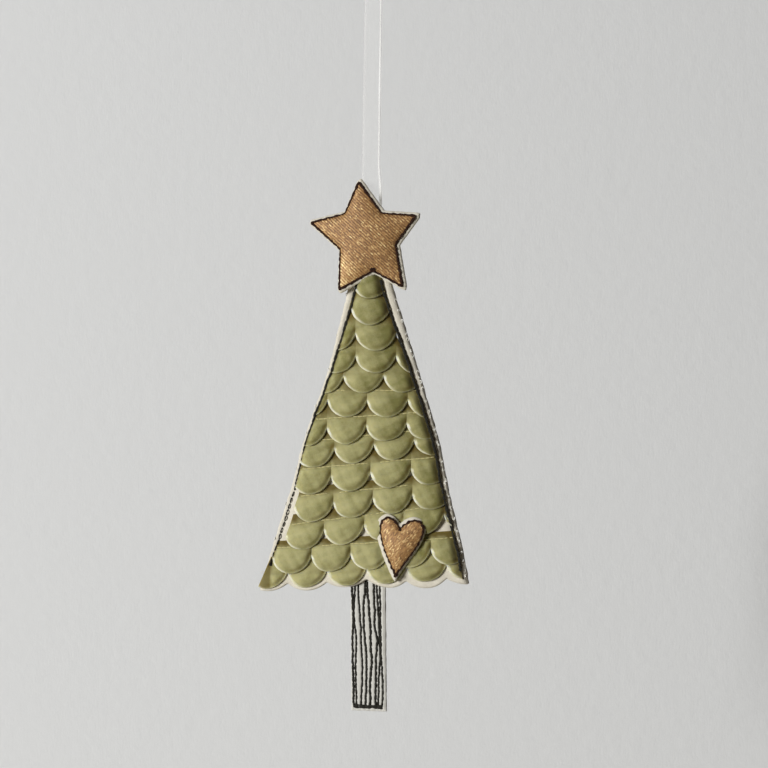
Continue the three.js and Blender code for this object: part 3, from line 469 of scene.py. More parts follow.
def close_patch(flat, faces, border, front_y, back_y):
    """A closed piece with a patch's outline, between two depths given for every point. Seen from the front
    the outline runs counter-clockwise."""
    count = len(flat)
    front = np.stack([flat[:, 0], np.broadcast_to(front_y, count), flat[:, 1]], axis=1)
    back = np.stack([flat[:, 0], np.broadcast_to(back_y, count), flat[:, 1]], axis=1)
    a, b, c = (flat[faces[:, corner]] for corner in range(3))
    turn = (b[:, 0] - a[:, 0]) * (c[:, 1] - a[:, 1]) - (b[:, 1] - a[:, 1]) * (c[:, 0] - a[:, 0])
    faces = np.where(turn[:, None] > 0, faces, faces[:, ::-1])
    ring = np.arange(border)
    following = np.roll(ring, -1)
    walls = np.stack([ring, ring + count, following + count, following], axis=-1)
    behind = faces[:, ::-1] + count
    return np.concatenate([front, back]), [*faces.tolist(), *behind.tolist(), *walls.tolist()]


# Thread: a round strand along a line, drawn in at each needle hole

def needle_holes(reach, sharpness, stitch=STITCH_LENGTH, phase=0):
    """1 at each needle hole along a thread and 0 halfway between two, narrower the sharper it is."""
    return np.abs(np.cos(math.pi * reach / stitch + phase)) ** sharpness


def strand(path, radius, pinch, sides=6, closed=False, stitch=STITCH_LENGTH):
    """Points, faces and cloth map of a sewn strand along a path, which has places across, in depth and up."""
    path = np.stack(np.broadcast_arrays(*path), axis=1).astype(float)
    steps = np.linalg.norm(np.diff(path, axis=0), axis=1)
    reach = np.concatenate([[0], np.cumsum(steps)])
    ahead = np.roll(path, -1, axis=0) - np.roll(path, 1, axis=0)
    if not closed:
        ahead[0], ahead[-1] = path[1] - path[0], path[-1] - path[-2]
    ahead /= np.linalg.norm(ahead, axis=1)[:, None]
    outward = np.array([0, -1, 0])
    side = np.cross(ahead, outward)
    side /= np.linalg.norm(side, axis=1)[:, None]
    up = np.cross(side, ahead)
    size = radius * (1 - pinch * needle_holes(reach, 12, stitch))
    count = len(path)
    points, flat = [], []
    for corner in range(sides):
        angle = TURN * corner / sides
        points.append(path + (side * math.cos(angle) - up * math.sin(angle)) * size[:, None])
        flat.append(np.stack([reach, np.full(count, TURN * radius * corner / sides)], axis=1))
    points = np.stack(points, axis=1).reshape(-1, 3)
    flat = np.stack(flat, axis=1).reshape(-1, 2)
    ring = np.arange(sides)
    following = np.roll(ring, -1)
    last = count if closed else count - 1
    faces = [
        quad
        for step in range(last)
        for quad in zip(
            ring + step * sides,
            following + step * sides,
            following + (step + 1) % count * sides,
            ring + (step + 1) % count * sides,
        )
    ]
    if not closed:
        faces += [tuple(ring[::-1]), tuple(ring + (count - 1) * sides)]
    return points, faces, flat


def join(parts):
    """Several closed shapes as the points, faces and cloth map of one piece."""
    points, faces, flats, start = [], [], [], 0
    for part_points, part_faces, flat in parts:
        points.append(part_points)
        flats.append(flat)
        faces += [tuple(corner + start for corner in face) for face in part_faces]
        start += len(part_points)
    return np.concatenate(points), faces, np.concatenate(flats)


def turned_out(piece):
    """Faces that a strand or a join left the wrong way are turned to point outwards."""
    shape = bmesh.new()
    shape.from_mesh(piece.data)
    bmesh.ops.recalc_face_normals(shape, faces=shape.faces)
    shape.to_mesh(piece.data)
    shape.free()
    return piece


def add_strands(name, parts, finish):
    """Adds one piece that is made of several strands."""
    points, faces, flat = join(parts)
    return turned_out(add_piece(name, points, faces, finish, cloth_map=flat))


# Materials

def linear(code):
    """An sRGB hex colour as linear red, green, blue and alpha."""
    levels = [int(code[place:place + 2], 16) / 255 for place in (1, 3, 5)]
    return (*(level / 12.92 if level <= 0.04045 else ((level + 0.055) / 1.055) ** 2.4 for level in levels), 1)


def fill_in(tree, part, inputs):
    """Links or sets a node's inputs."""
    for name, value in inputs.items():
        if isinstance(value, bpy.types.NodeSocket):
            tree.links.new(value, part.inputs[name])
        else:
            part.inputs[name].default_value = value


def node(tree, kind, inputs=None, **settings):
    """Adds a shader node with its settings and inputs."""
    made = tree.nodes.new("ShaderNode" + kind)
    for name, value in settings.items():
        setattr(made, name, value)
    fill_in(tree, made, inputs or {})
    return made


def new_finish(name):
    """A material with an empty node tree, its surface shader and its output."""
    finish = bpy.data.materials.new(name)
    finish.use_nodes = True
    tree = finish.node_tree
    tree.nodes.clear()
    shader = node(tree, "BsdfPrincipled")
    node(tree, "OutputMaterial", {"Surface": shader.outputs[0]})
    return finish, tree, shader


def place_on(tree, space="Object"):
    """Where a point lies on its object, or with UV on its flat cloth."""
    return node(tree, "TexCoord").outputs[space]


def mark_on(tree, name):
    """A value that a piece carries at each of its points."""
    return node(tree, "Attribute", attribute_name=name).outputs["Fac"]


def combine(tree, operation, one, other, **settings):
    return node(tree, "Math", {0: one, 1: other}, operation=operation, **settings).outputs[0]


def mapped(tree, place, **settings):
    """A place turned or stretched about the object's origin."""
    inputs = {name.capitalize(): value for name, value in settings.items()}
    return node(tree, "Mapping", {"Vector": place, **inputs}).outputs[0]


def noise(tree, place, size, detail, roughness=0.5, distortion=0):
    """Soft blotches about that many millimetres wide."""
    return node(tree, "TexNoise", {
        "Vector": place, "Scale": 1 / (size * MM), "Detail": detail, "Roughness": roughness,
        "Distortion": distortion,
    }).outputs[0]


def bands(tree, place, spacing, distortion, detail, axis="X"):
    """Stripes that many millimetres apart along an axis."""
    return node(tree, "TexWave", {
        "Vector": place, "Scale": math.pi / (10 * spacing * MM), "Distortion": distortion, "Detail": detail,
    }, wave_type="BANDS", bands_direction=axis).outputs["Fac"]


def remap(tree, value, to, between=(0.3, 0.7)):
    """The place between two numbers that matches where a value lies between two others."""
    return node(tree, "MapRange", {
        "Value": value, "From Min": between[0], "From Max": between[1], "To Min": to[0], "To Max": to[1],
    }).outputs[0]


def colours(tree, value, first, last, *middle):
    """The colour for a value, from stops that have a place and a hex colour each."""
    ramp = node(tree, "ValToRGB", {"Fac": value})
    stops = ramp.color_ramp.elements
    for stop, (place, code) in ((stops[0], first), (stops[1], last)):
        stop.position = place
        stop.color = linear(code)
    for place, code in middle:
        stops.new(place).color = linear(code)
    return ramp.outputs[0]


def tinted(tree, amount, colour, code):
    """A colour mixed with another by an amount."""
    return node(tree, "Mix", {0: amount, 6: colour, 7: linear(code)}, data_type="RGBA").outputs[2]


def relief(tree, height, strength, depth):
    """A surface relief that many millimetres deep."""
    return node(tree, "Bump", {"Height": height, "Strength": strength, "Distance": depth * MM}).outputs[0]


def felt_finish(name, pale, dull):
    """Needled wool felt: matt and pale, with soft grey hollows and short fibres lying every way. The fibres
    are drawn coarser than real ones, so that they show."""
    finish, tree, shader = new_finish(name)
    place = place_on(tree)
    fibres = noise(tree, place, size=0.45, detail=4, roughness=0.7, distortion=1.6)
    hollows = remap(tree, noise(tree, place, size=4, detail=3), to=(0.43, 0.57))
    level = combine(tree, "MULTIPLY", hollows, fibres)
    fill_in(tree, shader, {
        "Base Color": colours(tree, level, (0.12, dull), (0.34, pale)),
        "Normal": relief(tree, fibres, strength=0.5, depth=0.25),
        "Roughness": 0.95,
        "Specular IOR Level": 0.25,
        "Sheen Weight": 0.15,
    })
    return finish


def velvet_finish():
    """Cotton velvet ribbon: an olive green pile that looks paler where it is brushed and browner where it is
    flattened, with a pale edge without pile round each lobe. Painted light and shade go into its colour as
    well: each lobe is painted paler high and left, towards the window, painted shade browns the pile under
    the strip above, in cusps, by the threads and inside each lobe's right rim, and a painted highlight
    brightens the left of each rim. The pile's tufts are drawn coarser than real ones."""
    finish, tree, shader = new_finish("olive_velvet")
    place = place_on(tree)
    pile = noise(tree, place, size=0.4, detail=3, roughness=0.7)
    brushed = remap(tree, noise(tree, place, size=3, detail=3, roughness=0.6), to=(-0.16, 0.16))
    # Painted light and shade, read from a mark: each lobe paler high and left, towards the window, and the
    # tree darker towards its right
    lying = combine(tree, "ADD", brushed, mark_on(tree, "nap_light_and_shade"))
    level = combine(tree, "ADD", lying, remap(tree, pile, to=(-0.12, 0.14)))
    nap_light_and_shade = colours(tree, level, (0, "#7b7843"), (1, "#bab583"))
    # Painted shade, read from a mark, browns the pile under the strip above, in cusps, by the side threads
    # and inside each lobe's right rim, as well as where it is pressed at the seam
    pressed_and_shaded_pile = tinted(tree, mark_on(tree, "pressed_and_shade"), nap_light_and_shade, "#675824")
    uneven = remap(tree, pile, to=(0.75, 1), between=(0.35, 0.6))
    # Painted highlight, read from a mark: the pale rim is brightest on the left of each lobe, towards the
    # window
    bare_rim_and_highlight = combine(tree, "MULTIPLY", mark_on(tree, "rim"), uneven)
    fill_in(tree, shader, {
        "Base Color": tinted(tree, bare_rim_and_highlight, pressed_and_shaded_pile, "#efedd6"),
        "Normal": relief(tree, pile, strength=0.35, depth=0.2),
        "Roughness": 0.8,
        "Specular IOR Level": 0.3,
        "Sheen Weight": 0.35,
        "Sheen Roughness": 0.4,
        "Sheen Tint": linear("#d9d8b4"),
        "Subsurface Weight": 0.6,
        "Subsurface Radius": (1, 0.85, 0.4),
        "Subsurface Scale": 1.8 * MM,
    })
    return finish


def gold_finish(name, angle, rib_amount, dullest, painted_sparkle_share, painted_lustre):
    """Gold twill cloth: tan yarns in slanting ribs with flat metal threads among them, so that it shines
    softly and glitters in points; the metal threads' glints and sparkles are painted into its colour. The
    ribs
    are drawn wider apart than real ones, so that they show. The last argument places a painted highlight:
    where, on the way down to the left, the cloth starts to be painted brighter, where it is brightest and by
    how much. The one before it is the share of metal threads painted as sparkles."""
    finish, tree, shader = new_finish(name)
    place = place_on(tree)
    turned = mapped(tree, place, rotation=(0, angle, 0))
    ribs = bands(tree, turned, spacing=0.9, distortion=0.6, detail=1)
    cells = node(tree, "TexVoronoi", {
        "Vector": mapped(tree, turned, scale=(1, 1, 0.4)), "Scale": 1 / (METAL_THREAD_WIDTH * MM),
    })
    # Painted glints: each metal thread is painted its own brightness, and the brightest share brighter still
    # as sparkles
    painted_sparkle, glint, _ = node(tree, "SeparateColor", {"Color": cells.outputs["Color"]}).outputs
    painted_sparkle = remap(tree, painted_sparkle, to=(0, 0.4), between=(1 - painted_sparkle_share, 1))
    # Painted highlight: the cloth is painted brighter on the way down to the left
    down_left = node(tree, "VectorMath", {0: place, 1: (-0.62, 0, -0.78)}, operation="DOT_PRODUCT")
    start, end, brightest = painted_lustre
    painted_highlight = remap(tree, down_left.outputs["Value"], to=(0, brightest), between=(start * MM, end * MM))
    level = remap(tree, noise(tree, place, size=6, detail=3), to=(dullest, dullest + 0.12))
    for part, amount in ((painted_highlight, 1), (ribs, rib_amount), (glint, 0.42), (painted_sparkle, 1)):
        level = combine(tree, "ADD", level, combine(tree, "MULTIPLY", part, amount))
    fill_in(tree, shader, {
        "Base Color": colours(tree, level, (0.1, "#6b4a26"), (1, "#ecd296"), (0.5, "#a67c49")),
        "Normal": relief(tree, combine(tree, "ADD", ribs, glint), strength=0.4, depth=0.12),
        "Metallic": 0.2,
        "Roughness": 0.55,
    })
    return finish


def thread_finish(name, dark, light, twist):
    """Twisted cotton thread: two plies wind round each other once in the given length, with a faint sheen."""
    finish, tree, shader = new_finish(name)
    slanting = mapped(tree, place_on(tree, "UV"), rotation=(0, 0, math.radians(35)))
    plies = bands(tree, slanting, twist, distortion=0.6, detail=1)
    fill_in(tree, shader, {
        "Base Color": colours(tree, plies, (0, dark), (1, light)),
        "Normal": relief(tree, plies, strength=0.6, depth=0.08),
        "Roughness": 0.7,
        "Specular IOR Level": 0.18,
    })
    return finish


def organza_finish():
    """Sheer organza ribbon: a fine open weave that the wall shows through, and a closed satin selvedge along
    each side."""
    finish, tree, shader = new_finish("sheer_organza")
    flat = place_on(tree, "UV")
    across = node(tree, "SeparateXYZ", {"Vector": flat}).outputs["X"]
    open_reach = RIBBON_WIDTH / 2 - SELVEDGE
    closed_reach = RIBBON_WIDTH / 2 - 0.8 * SELVEDGE
    left, right = (
        remap(tree, across, to=(0, cover), between=(side * open_reach * MM, side * closed_reach * MM))
        for side, cover in ((-1, LEFT_SELVEDGE_COVER), (1, RIGHT_SELVEDGE_COVER))
    )
    warp, weft = (bands(tree, flat, spacing=0.35, distortion=0.4, detail=2, axis=axis) for axis in "XY")
    weave = remap(tree, combine(tree, "MAXIMUM", warp, weft), to=(0, 0.035), between=(0, 1))
    fill_in(tree, shader, {
        "Base Color": linear("#fafaf8"),
        "Alpha": combine(tree, "MAXIMUM", weave, combine(tree, "MAXIMUM", left, right)),
        "Roughness": 0.4,
        "Sheen Weight": 0.2,
    })
    return finish


def trunk_finish():
    """Bleached cotton: an off-white plain weave with slightly thick and thin yarns."""
    finish, tree, shader = new_finish("bleached_cotton")
    place = place_on(tree)
    warp, weft = (bands(tree, place, spacing=0.5, distortion=1.5, detail=2, axis=axis) for axis in "XZ")
    weave = combine(tree, "MULTIPLY", warp, weft)
    level = combine(tree, "MULTIPLY", weave, noise(tree, place, size=3, detail=4))
    fill_in(tree, shader, {
        "Base Color": colours(tree, level, (0, "#cfcdc4"), (0.45, "#e6e5df")),
        "Normal": relief(tree, weave, strength=0.35, depth=0.12),
        "Roughness": 0.9,
        "Specular IOR Level": 0.25,
    })
    return finish


def paint_finish(name, code):
    """Matt paint, with the faint roller mottling of a painted wall."""
    finish, tree, shader = new_finish(name)
    place = place_on(tree)
    strokes = noise(tree, mapped(tree, place, scale=(1, 1, 0.3)), size=1.1, detail=2)
    faint = combine(tree, "MULTIPLY", strokes, STROKE_SHARE)
    height = combine(tree, "ADD", noise(tree, place, size=7, detail=6), faint)
    fill_in(tree, shader, {
        "Base Color": linear(code),
        "Normal": relief(tree, height, strength=0.4, depth=0.7),
        "Roughness": 0.9,
        "Specular IOR Level": 0.2,
    })
    return finish, tree, shader


cream_felt = felt_finish("cream_wool_felt", "#eee8d8", "#c9c2b0")
wadding_fill = felt_finish("polyester_wadding", "#d5d3ca", "#9d9b92")
loose_wool = felt_finish("loose_wadding_fibre", "#f6f5f0", "#dedcd2")
olive_velvet = velvet_finish()
# Both gold cloths carry painted glints and a painted highlight towards their lower left
star_gold = gold_finish(
    "gold_twill_star", math.radians(48),
    rib_amount=0.36, dullest=-0.16, painted_sparkle_share=0.26, painted_lustre=(88, 101, 0.42),
)
heart_gold = gold_finish(
    "gold_twill_heart", math.radians(-40),
    rib_amount=0.05, dullest=-0.05, painted_sparkle_share=0.36, painted_lustre=(140, 165, 0.14),
)
black_thread = thread_finish("black_cotton_thread", "#10100c", "#302e26", twist=0.5)
brown_thread = thread_finish("brown_cotton_thread", "#180701", "#351a09", twist=0.5)
gold_thread = thread_finish("straw_thread", "#aba05a", "#e8e1b0", twist=0.4)
sheer_organza = organza_finish()
bleached_cotton = trunk_finish()


# Camera, at the photograph's angle

def place_camera():
    centre = Vector(VIEW_CENTRE) * MM
    distance = VIEW_WIDTH * MM * LENS / SENSOR
    away = Vector((math.sin(CAMERA_AZIMUTH), -math.cos(CAMERA_AZIMUTH), 0))
    lens = bpy.data.cameras.new("camera")
    lens.lens = LENS
    lens.sensor_width = SENSOR
    lens.clip_start = 0.01
    camera = bpy.data.objects.new("camera", lens)
    facing = (-away).to_track_quat("-Z", "Y").to_matrix().to_4x4()
    roll = Matrix.Rotation(CAMERA_ROLL, 4, "Z")
    camera.matrix_world = Matrix.Translation(centre + away * distance) @ facing @ roll
    bpy.context.scene.collection.objects.link(camera)
    bpy.context.scene.camera = camera


place_camera()


# Ribbon: one sheer strip up from the tree, over the hook and down again

def ribbon_path():
    """The strip's middle line from the front run's foot over the top to the back run's foot."""
    half_foot = LOOP_FOOT_SPAN / 2
    radius = LOOP_TOP_SPAN / 2
    centre_z = -LOOP_TOP_SPAN / 2
    run = math.hypot(half_foot, centre_z - HINGE_Z)
    lean = math.asin(radius / run) - math.atan2(half_foot, centre_z - HINGE_Z)
    arc = [
        (-radius * math.cos(turn), centre_z + radius * math.sin(turn))
        for turn in np.linspace(-lean, math.pi + lean, 25)
    ]
    front = [(-half_foot + (arc[0][0] + half_foot) * share, HINGE_Z + (arc[0][1] - HINGE_Z) * share)
             for share in np.linspace(0, 1, 40)[:-1]]
    back = [(-y, z) for y, z in front[::-1]]
    return np.array([(0, y, z) for y, z in front + arc + back])


def make_ribbon():
    path = ribbon_path()
    ahead = np.gradient(path, axis=0)
    ahead /= np.linalg.norm(ahead, axis=1)[:, None]
    reach = np.concatenate([[0], np.cumsum(np.linalg.norm(np.diff(path, axis=0), axis=1))])
    sides = np.linspace(-1, 1, 17)
    # The strip is gathered a little over the hook, and its two runs lie slightly askew
    half_width = RIBBON_WIDTH / 2 * (1 - RIBBON_GATHER_SHARE * ease(path[:, 2], GATHER_FOOT_Z, 0))
    shift = RIBBON_ASKEW - path[:, 1] * math.tan(CAMERA_AZIMUTH)
    flare = RIBBON_FLARE * ease(-path[:, 2], -FLARE_START_Z, -FLARE_START_Z + FLARE_RUN)
    outward = np.cross(np.array([1, 0, 0]), ahead)
    x = sides[:, None] * half_width + shift + np.maximum(sides[:, None], 0) * flare
    cup = RIBBON_CUP * (sides[:, None] ** 2) * ripple(reach, 1.3, 60) + RIBBON_WAVE * ripple(reach, 0.4, 23)
    cup = cup * ease(path[:, 2], HINGE_Z + 3, HINGE_Z + 25)
    middle = grid_of(x, path[None, :, 1], path[None, :, 2])
    front, back = (
        middle + (face * RIBBON_THICKNESS / 2 + cup)[:, :, None] * outward[None, :, :] for face in (1, -1)
    )
    points, faces = close_grids(front, back)
    flat = np.broadcast_arrays(sides[:, None] * RIBBON_WIDTH / 2, reach[None, :])
    flat = np.stack(flat, axis=-1).reshape(-1, 2)
    piece = add_piece("organza_ribbon", points, faces, sheer_organza, "ribbon", np.concatenate([flat, flat]))
    turned_out(piece)
    piece.parent = None
    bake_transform(piece)
    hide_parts("ribbon_loop", "ribbon_front_ply", "ribbon_back_ply")


make_ribbon()


def make_ribbon_ends():
    """The two ends of the ribbon, laid together between the panels."""
    low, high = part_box("ribbon_tail")
    x = np.linspace(low.x / MM, high.x / MM, 9)[:, None]
    z = np.linspace(high.z / MM + 0.02, low.z / MM, 13)[None, :]
    fold = RIBBON_END_FOLD * ripple(x + 0.4 * z, 2.2, 9)
    front = grid_of(x, low.y / MM + RIBBON_END_INSET + fold, z)
    back = grid_of(x, high.y / MM - RIBBON_END_INSET + fold, z)
    points, faces = close_grids(front, back)
    piece = add_piece("ribbon_ends", points, faces, sheer_organza, cloth_map=points[:, [0, 2]])
    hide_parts("ribbon_tail")


make_ribbon_ends()


# The padded body: two felts with wadding between them

def felt_height(x, z):
    """How far the front felt stands forward of its margin: padded in the middle, and drawn in at the sides by
    the stitching."""
    left, right = stitch_lines(z)
    across = (2 * x - left - right) / (right - left)
    down = np.clip(down_share(z), 0, 1)
    fullness = np.sin(math.pi * (PUFF_START_SHARE + PUFF_RUN_SHARE * down))
    swelling = PUFF * fullness * np.maximum(0, 1 - across ** 2)
    sewn = ease(z, STITCH_FOOT_Z - 2, STITCH_FOOT_Z + 1)
    drawn = np.exp(-((x - left) / STITCH_DRAW_WIDTH) ** 2) + np.exp(-((x - right) / STITCH_DRAW_WIDTH) ** 2)
    return swelling - STITCH_DRAW * sewn * drawn


STITCH_FOOT_Z = height_at(LEFT_STITCH_SHARES[-1][0])
STITCH_TOP_Z = height_at(LEFT_STITCH_SHARES[1][0]) + 6
HEM_RADIUS = arc_radius(LOBE_PITCH, HEM_LOBE_DEPTH)
HEM_CUSP_X = ROW_SHARES[-1][1] * LOBE_PITCH


def hem_height(x):
    """The height of the felt's scalloped lower edge."""
    below = np.sqrt(HEM_RADIUS ** 2 - from_lobe(x, HEM_CUSP_X) ** 2) - (HEM_RADIUS - HEM_LOBE_DEPTH)
    cut_higher = HEM_RISE * (np.exp(-((x - HEM_RISE_X) / HEM_RISE_WIDTH) ** 4) + ease(x, *HEM_END_RISE_X))
    return height_at(1) - HEM_MARGIN + HEM_LOBE_DEPTH - below + HEM_CLIMB_SHARE * x + cut_higher


def body_grid(seed, rough, inset=0.0, columns=110, rows=170):
    """Places across and down the tree's outline, with its hand-cut sides and scalloped hem. The last two
    arrays give the distance to a side and to the hem or top."""
    shares = rounded_steps(0, 1, columns, 0.03)[:, None]
    straight = rounded_steps(TREE_TOP_Z - inset, height_at(1), rows, -1)[None, :]
    left, right = edge_lines(straight)
    left = left + inset + rough * (ripple(straight, seed, 9) + 0.6 * ripple(straight, seed + 5, 2.3))
    right = right - inset + rough * (ripple(straight, seed + 2, 7) + 0.6 * ripple(straight, seed + 7, 1.9))
    x = left + (right - left) * shares
    fall = ease(down_share(straight), 0.8, 1)
    z = straight + fall * (hem_height(x) + inset - height_at(1))
    to_side = np.minimum(x - left, right - x)
    to_end = np.minimum(TREE_TOP_Z - inset - z, z - hem_height(x) - inset)
    return x, z, to_side, np.abs(to_end)


def make_front_felt():
    x, z, to_side, to_end = body_grid(0.7, FELT_ROUGHNESS)
    right_room = np.maximum(edge_lines(z)[1] - x, 0)
    to_cut = np.minimum(to_side, RIGHT_FALL_SHARE * right_room)
    drop = edge_drop(to_cut, MARGIN_ROUND) + edge_drop(to_end, HEM_ROUND) * ease(to_side, 0, 1)
    tufts = FELT_TUFTS * ripple(x + 1.3 * z, 0.3, 1.7) * ripple(z - 0.8 * x, 2.3, 1.3)
    height = felt_height(x, z) + FELT_LUMPS * patches(x, z, 1.1, 5) + tufts
    front = grid_of(x, PANEL_FRONT_Y - height + drop, z)
    back = grid_of(x, PANEL_FRONT_Y - felt_height(x, z) + FELT_THICKNESS + 0.35 * drop, z)
    piece = add_piece("front_felt", *close_grids(front, back), cream_felt)
    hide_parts("front_panel")


def make_back_felt():
    low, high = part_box("back_panel")
    x, z, to_side, to_end = body_grid(3.1, FELT_ROUGHNESS, columns=60, rows=90)
    drop = edge_drop(np.minimum(to_side, to_end), BACK_ROUND)
    wave = PLAIN_FELT_LUMPS * patches(x, z, 2.6, 8)
    front = grid_of(x, low.y / MM + 0.3 * drop, z)
    back = grid_of(x, high.y / MM - drop + wave, z)
    piece = add_piece("back_felt", *close_grids(front, back), cream_felt)
    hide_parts("back_panel")


def make_wadding():
    _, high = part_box("wadding_core")
    x, z, to_side, _ = body_grid(5.3, WADDING_ROUGHNESS, inset=WADDING_INSET, columns=70, rows=150)
    torn = WADDING_TEAR * ripple(z + 1.7 * x, 1.9, 1.7)
    drop = edge_drop(to_side, WADDING_ROUND)
    front_y = PANEL_FRONT_Y + FELT_THICKNESS - felt_height(x, z) + 0.03
    front = grid_of(x, front_y + drop + np.where(to_side < 0.6, np.abs(torn), 0), z)
    back = grid_of(x, high.y / MM - drop, z)
    piece = add_piece("tree_wadding", *close_grids(front, back), wadding_fill)
    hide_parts("wadding_core")


make_wadding()
make_front_felt()
make_back_felt()


def make_edge_tufts():
    """Wisps of wadding that stick out between the felts where the sides are cut."""
    parts = []
    top_z, foot_z = (height_at(down) for down in TUFT_DOWN_SHARES)
    for side, count, seed in ((0, LEFT_TUFTS, 0.7), (1, RIGHT_TUFTS, 2.6)):
        heights = np.linspace(top_z, foot_z, count) + 2.5 * ripple(np.arange(count), seed, 3.7)
        for number, height in enumerate(heights):
            cut_x = edge_lines(height)[side]
            turns = np.linspace(0, 1.4 * math.pi, 9) + 2.3 * number
            wind = TUFT_WIND + 0.14 * ripple(number, seed + 1, 2.9)
            x = cut_x - 0.15 * np.sign(cut_x) + wind * np.cos(turns)
            z = height + 1.5 * wind * np.sin(turns)
            y = PANEL_FRONT_Y + 0.35 - 0.2 * np.cos(1.7 * turns)
            radius = TUFT_RADIUS + 0.08 * ripple(number, seed + 2, 2.3)
            parts.append(strand((x, y, z), radius, stitch=0.9, pinch=0.4))
    piece = add_strands("edge_tufts", parts, loose_wool)


make_edge_tufts()


# Star and heart outlines

def star_point(degrees, share):
    turn = math.radians(degrees)
    return np.array(STAR_CENTRE) + share * STAR_RADIUS * np.array((math.cos(turn), math.sin(turn)))


def star_outline():
    """The star's stitched outline, counter-clockwise from the front, its tips and notches barely rounded."""
    corners = np.array([star_point(*point) for point in STAR_POINT_SHARES])
    return soften(corners[::-1], 0.45)


def heart_outline():
    left = HEART_WIDTH * HEART_LEFT_SHARE
    right = HEART_WIDTH - left
    drop = HEART_HEIGHT - HEART_NOTCH_DEPTH
    start, points = np.zeros(2), []
    for curve in HEART_CURVE_SHARES:
        first, second, end = (
            np.array((across * (left if across < 0 else right), up * (drop if up < 0 else HEART_NOTCH_DEPTH)))
            for across, up in curve
        )
        for step in np.linspace(0, 1, 24, endpoint=False):
            rest = 1 - step
            points.append(rest ** 3 * start + 3 * rest ** 2 * step * first + 3 * rest * step ** 2 * second
                          + step ** 3 * end)
        start = end
    cosine, sine = math.cos(HEART_TILT), math.sin(HEART_TILT)
    turn = np.array([[cosine, sine], [-sine, cosine]])
    return even_outline(np.array(points) @ turn.T + np.array(HEART_NOTCH), 0.45)


def soften(corners, spacing):
    """An outline with straight sides that bow by a hair and corners rounded over half a millimetre."""
    fine = even_outline(corners, spacing / 3)
    smooth = sum(np.roll(fine, step, axis=0) for step in range(-3, 4)) / 7
    return even_outline(smooth, spacing)


def middle_of(outline):
    return (outline.max(axis=0) + outline.min(axis=0)) / 2


star_line = star_outline()
heart_line = heart_outline()
heart_centre = middle_of(heart_line)


def pressed_by_heart(x, z):
    """1 under the sewn heart, which holds the velvet flat, and 0 a little way off it."""
    distance = np.hypot((x - heart_centre[0]) * HEART_HEIGHT / HEART_WIDTH, z - heart_centre[1])
    return 1 - ease(distance, HEART_HEIGHT / 2 - 1, HEART_HEIGHT / 2 + HEART_PRESS_RUN)


# Velvet rows

LOBE_RADIUS = arc_radius(LOBE_PITCH, LOBE_DEPTH)
LOBE_HALF_ANGLE = math.asin(LOBE_PITCH / 2 / LOBE_RADIUS)
STRIP_HEIGHT = STRIP_BAND + LOBE_DEPTH


def side_room(x, z):
    """How far inside the side stitching a place lies."""
    left, right = stitch_lines(z)
    return np.minimum(x - left, right - x)


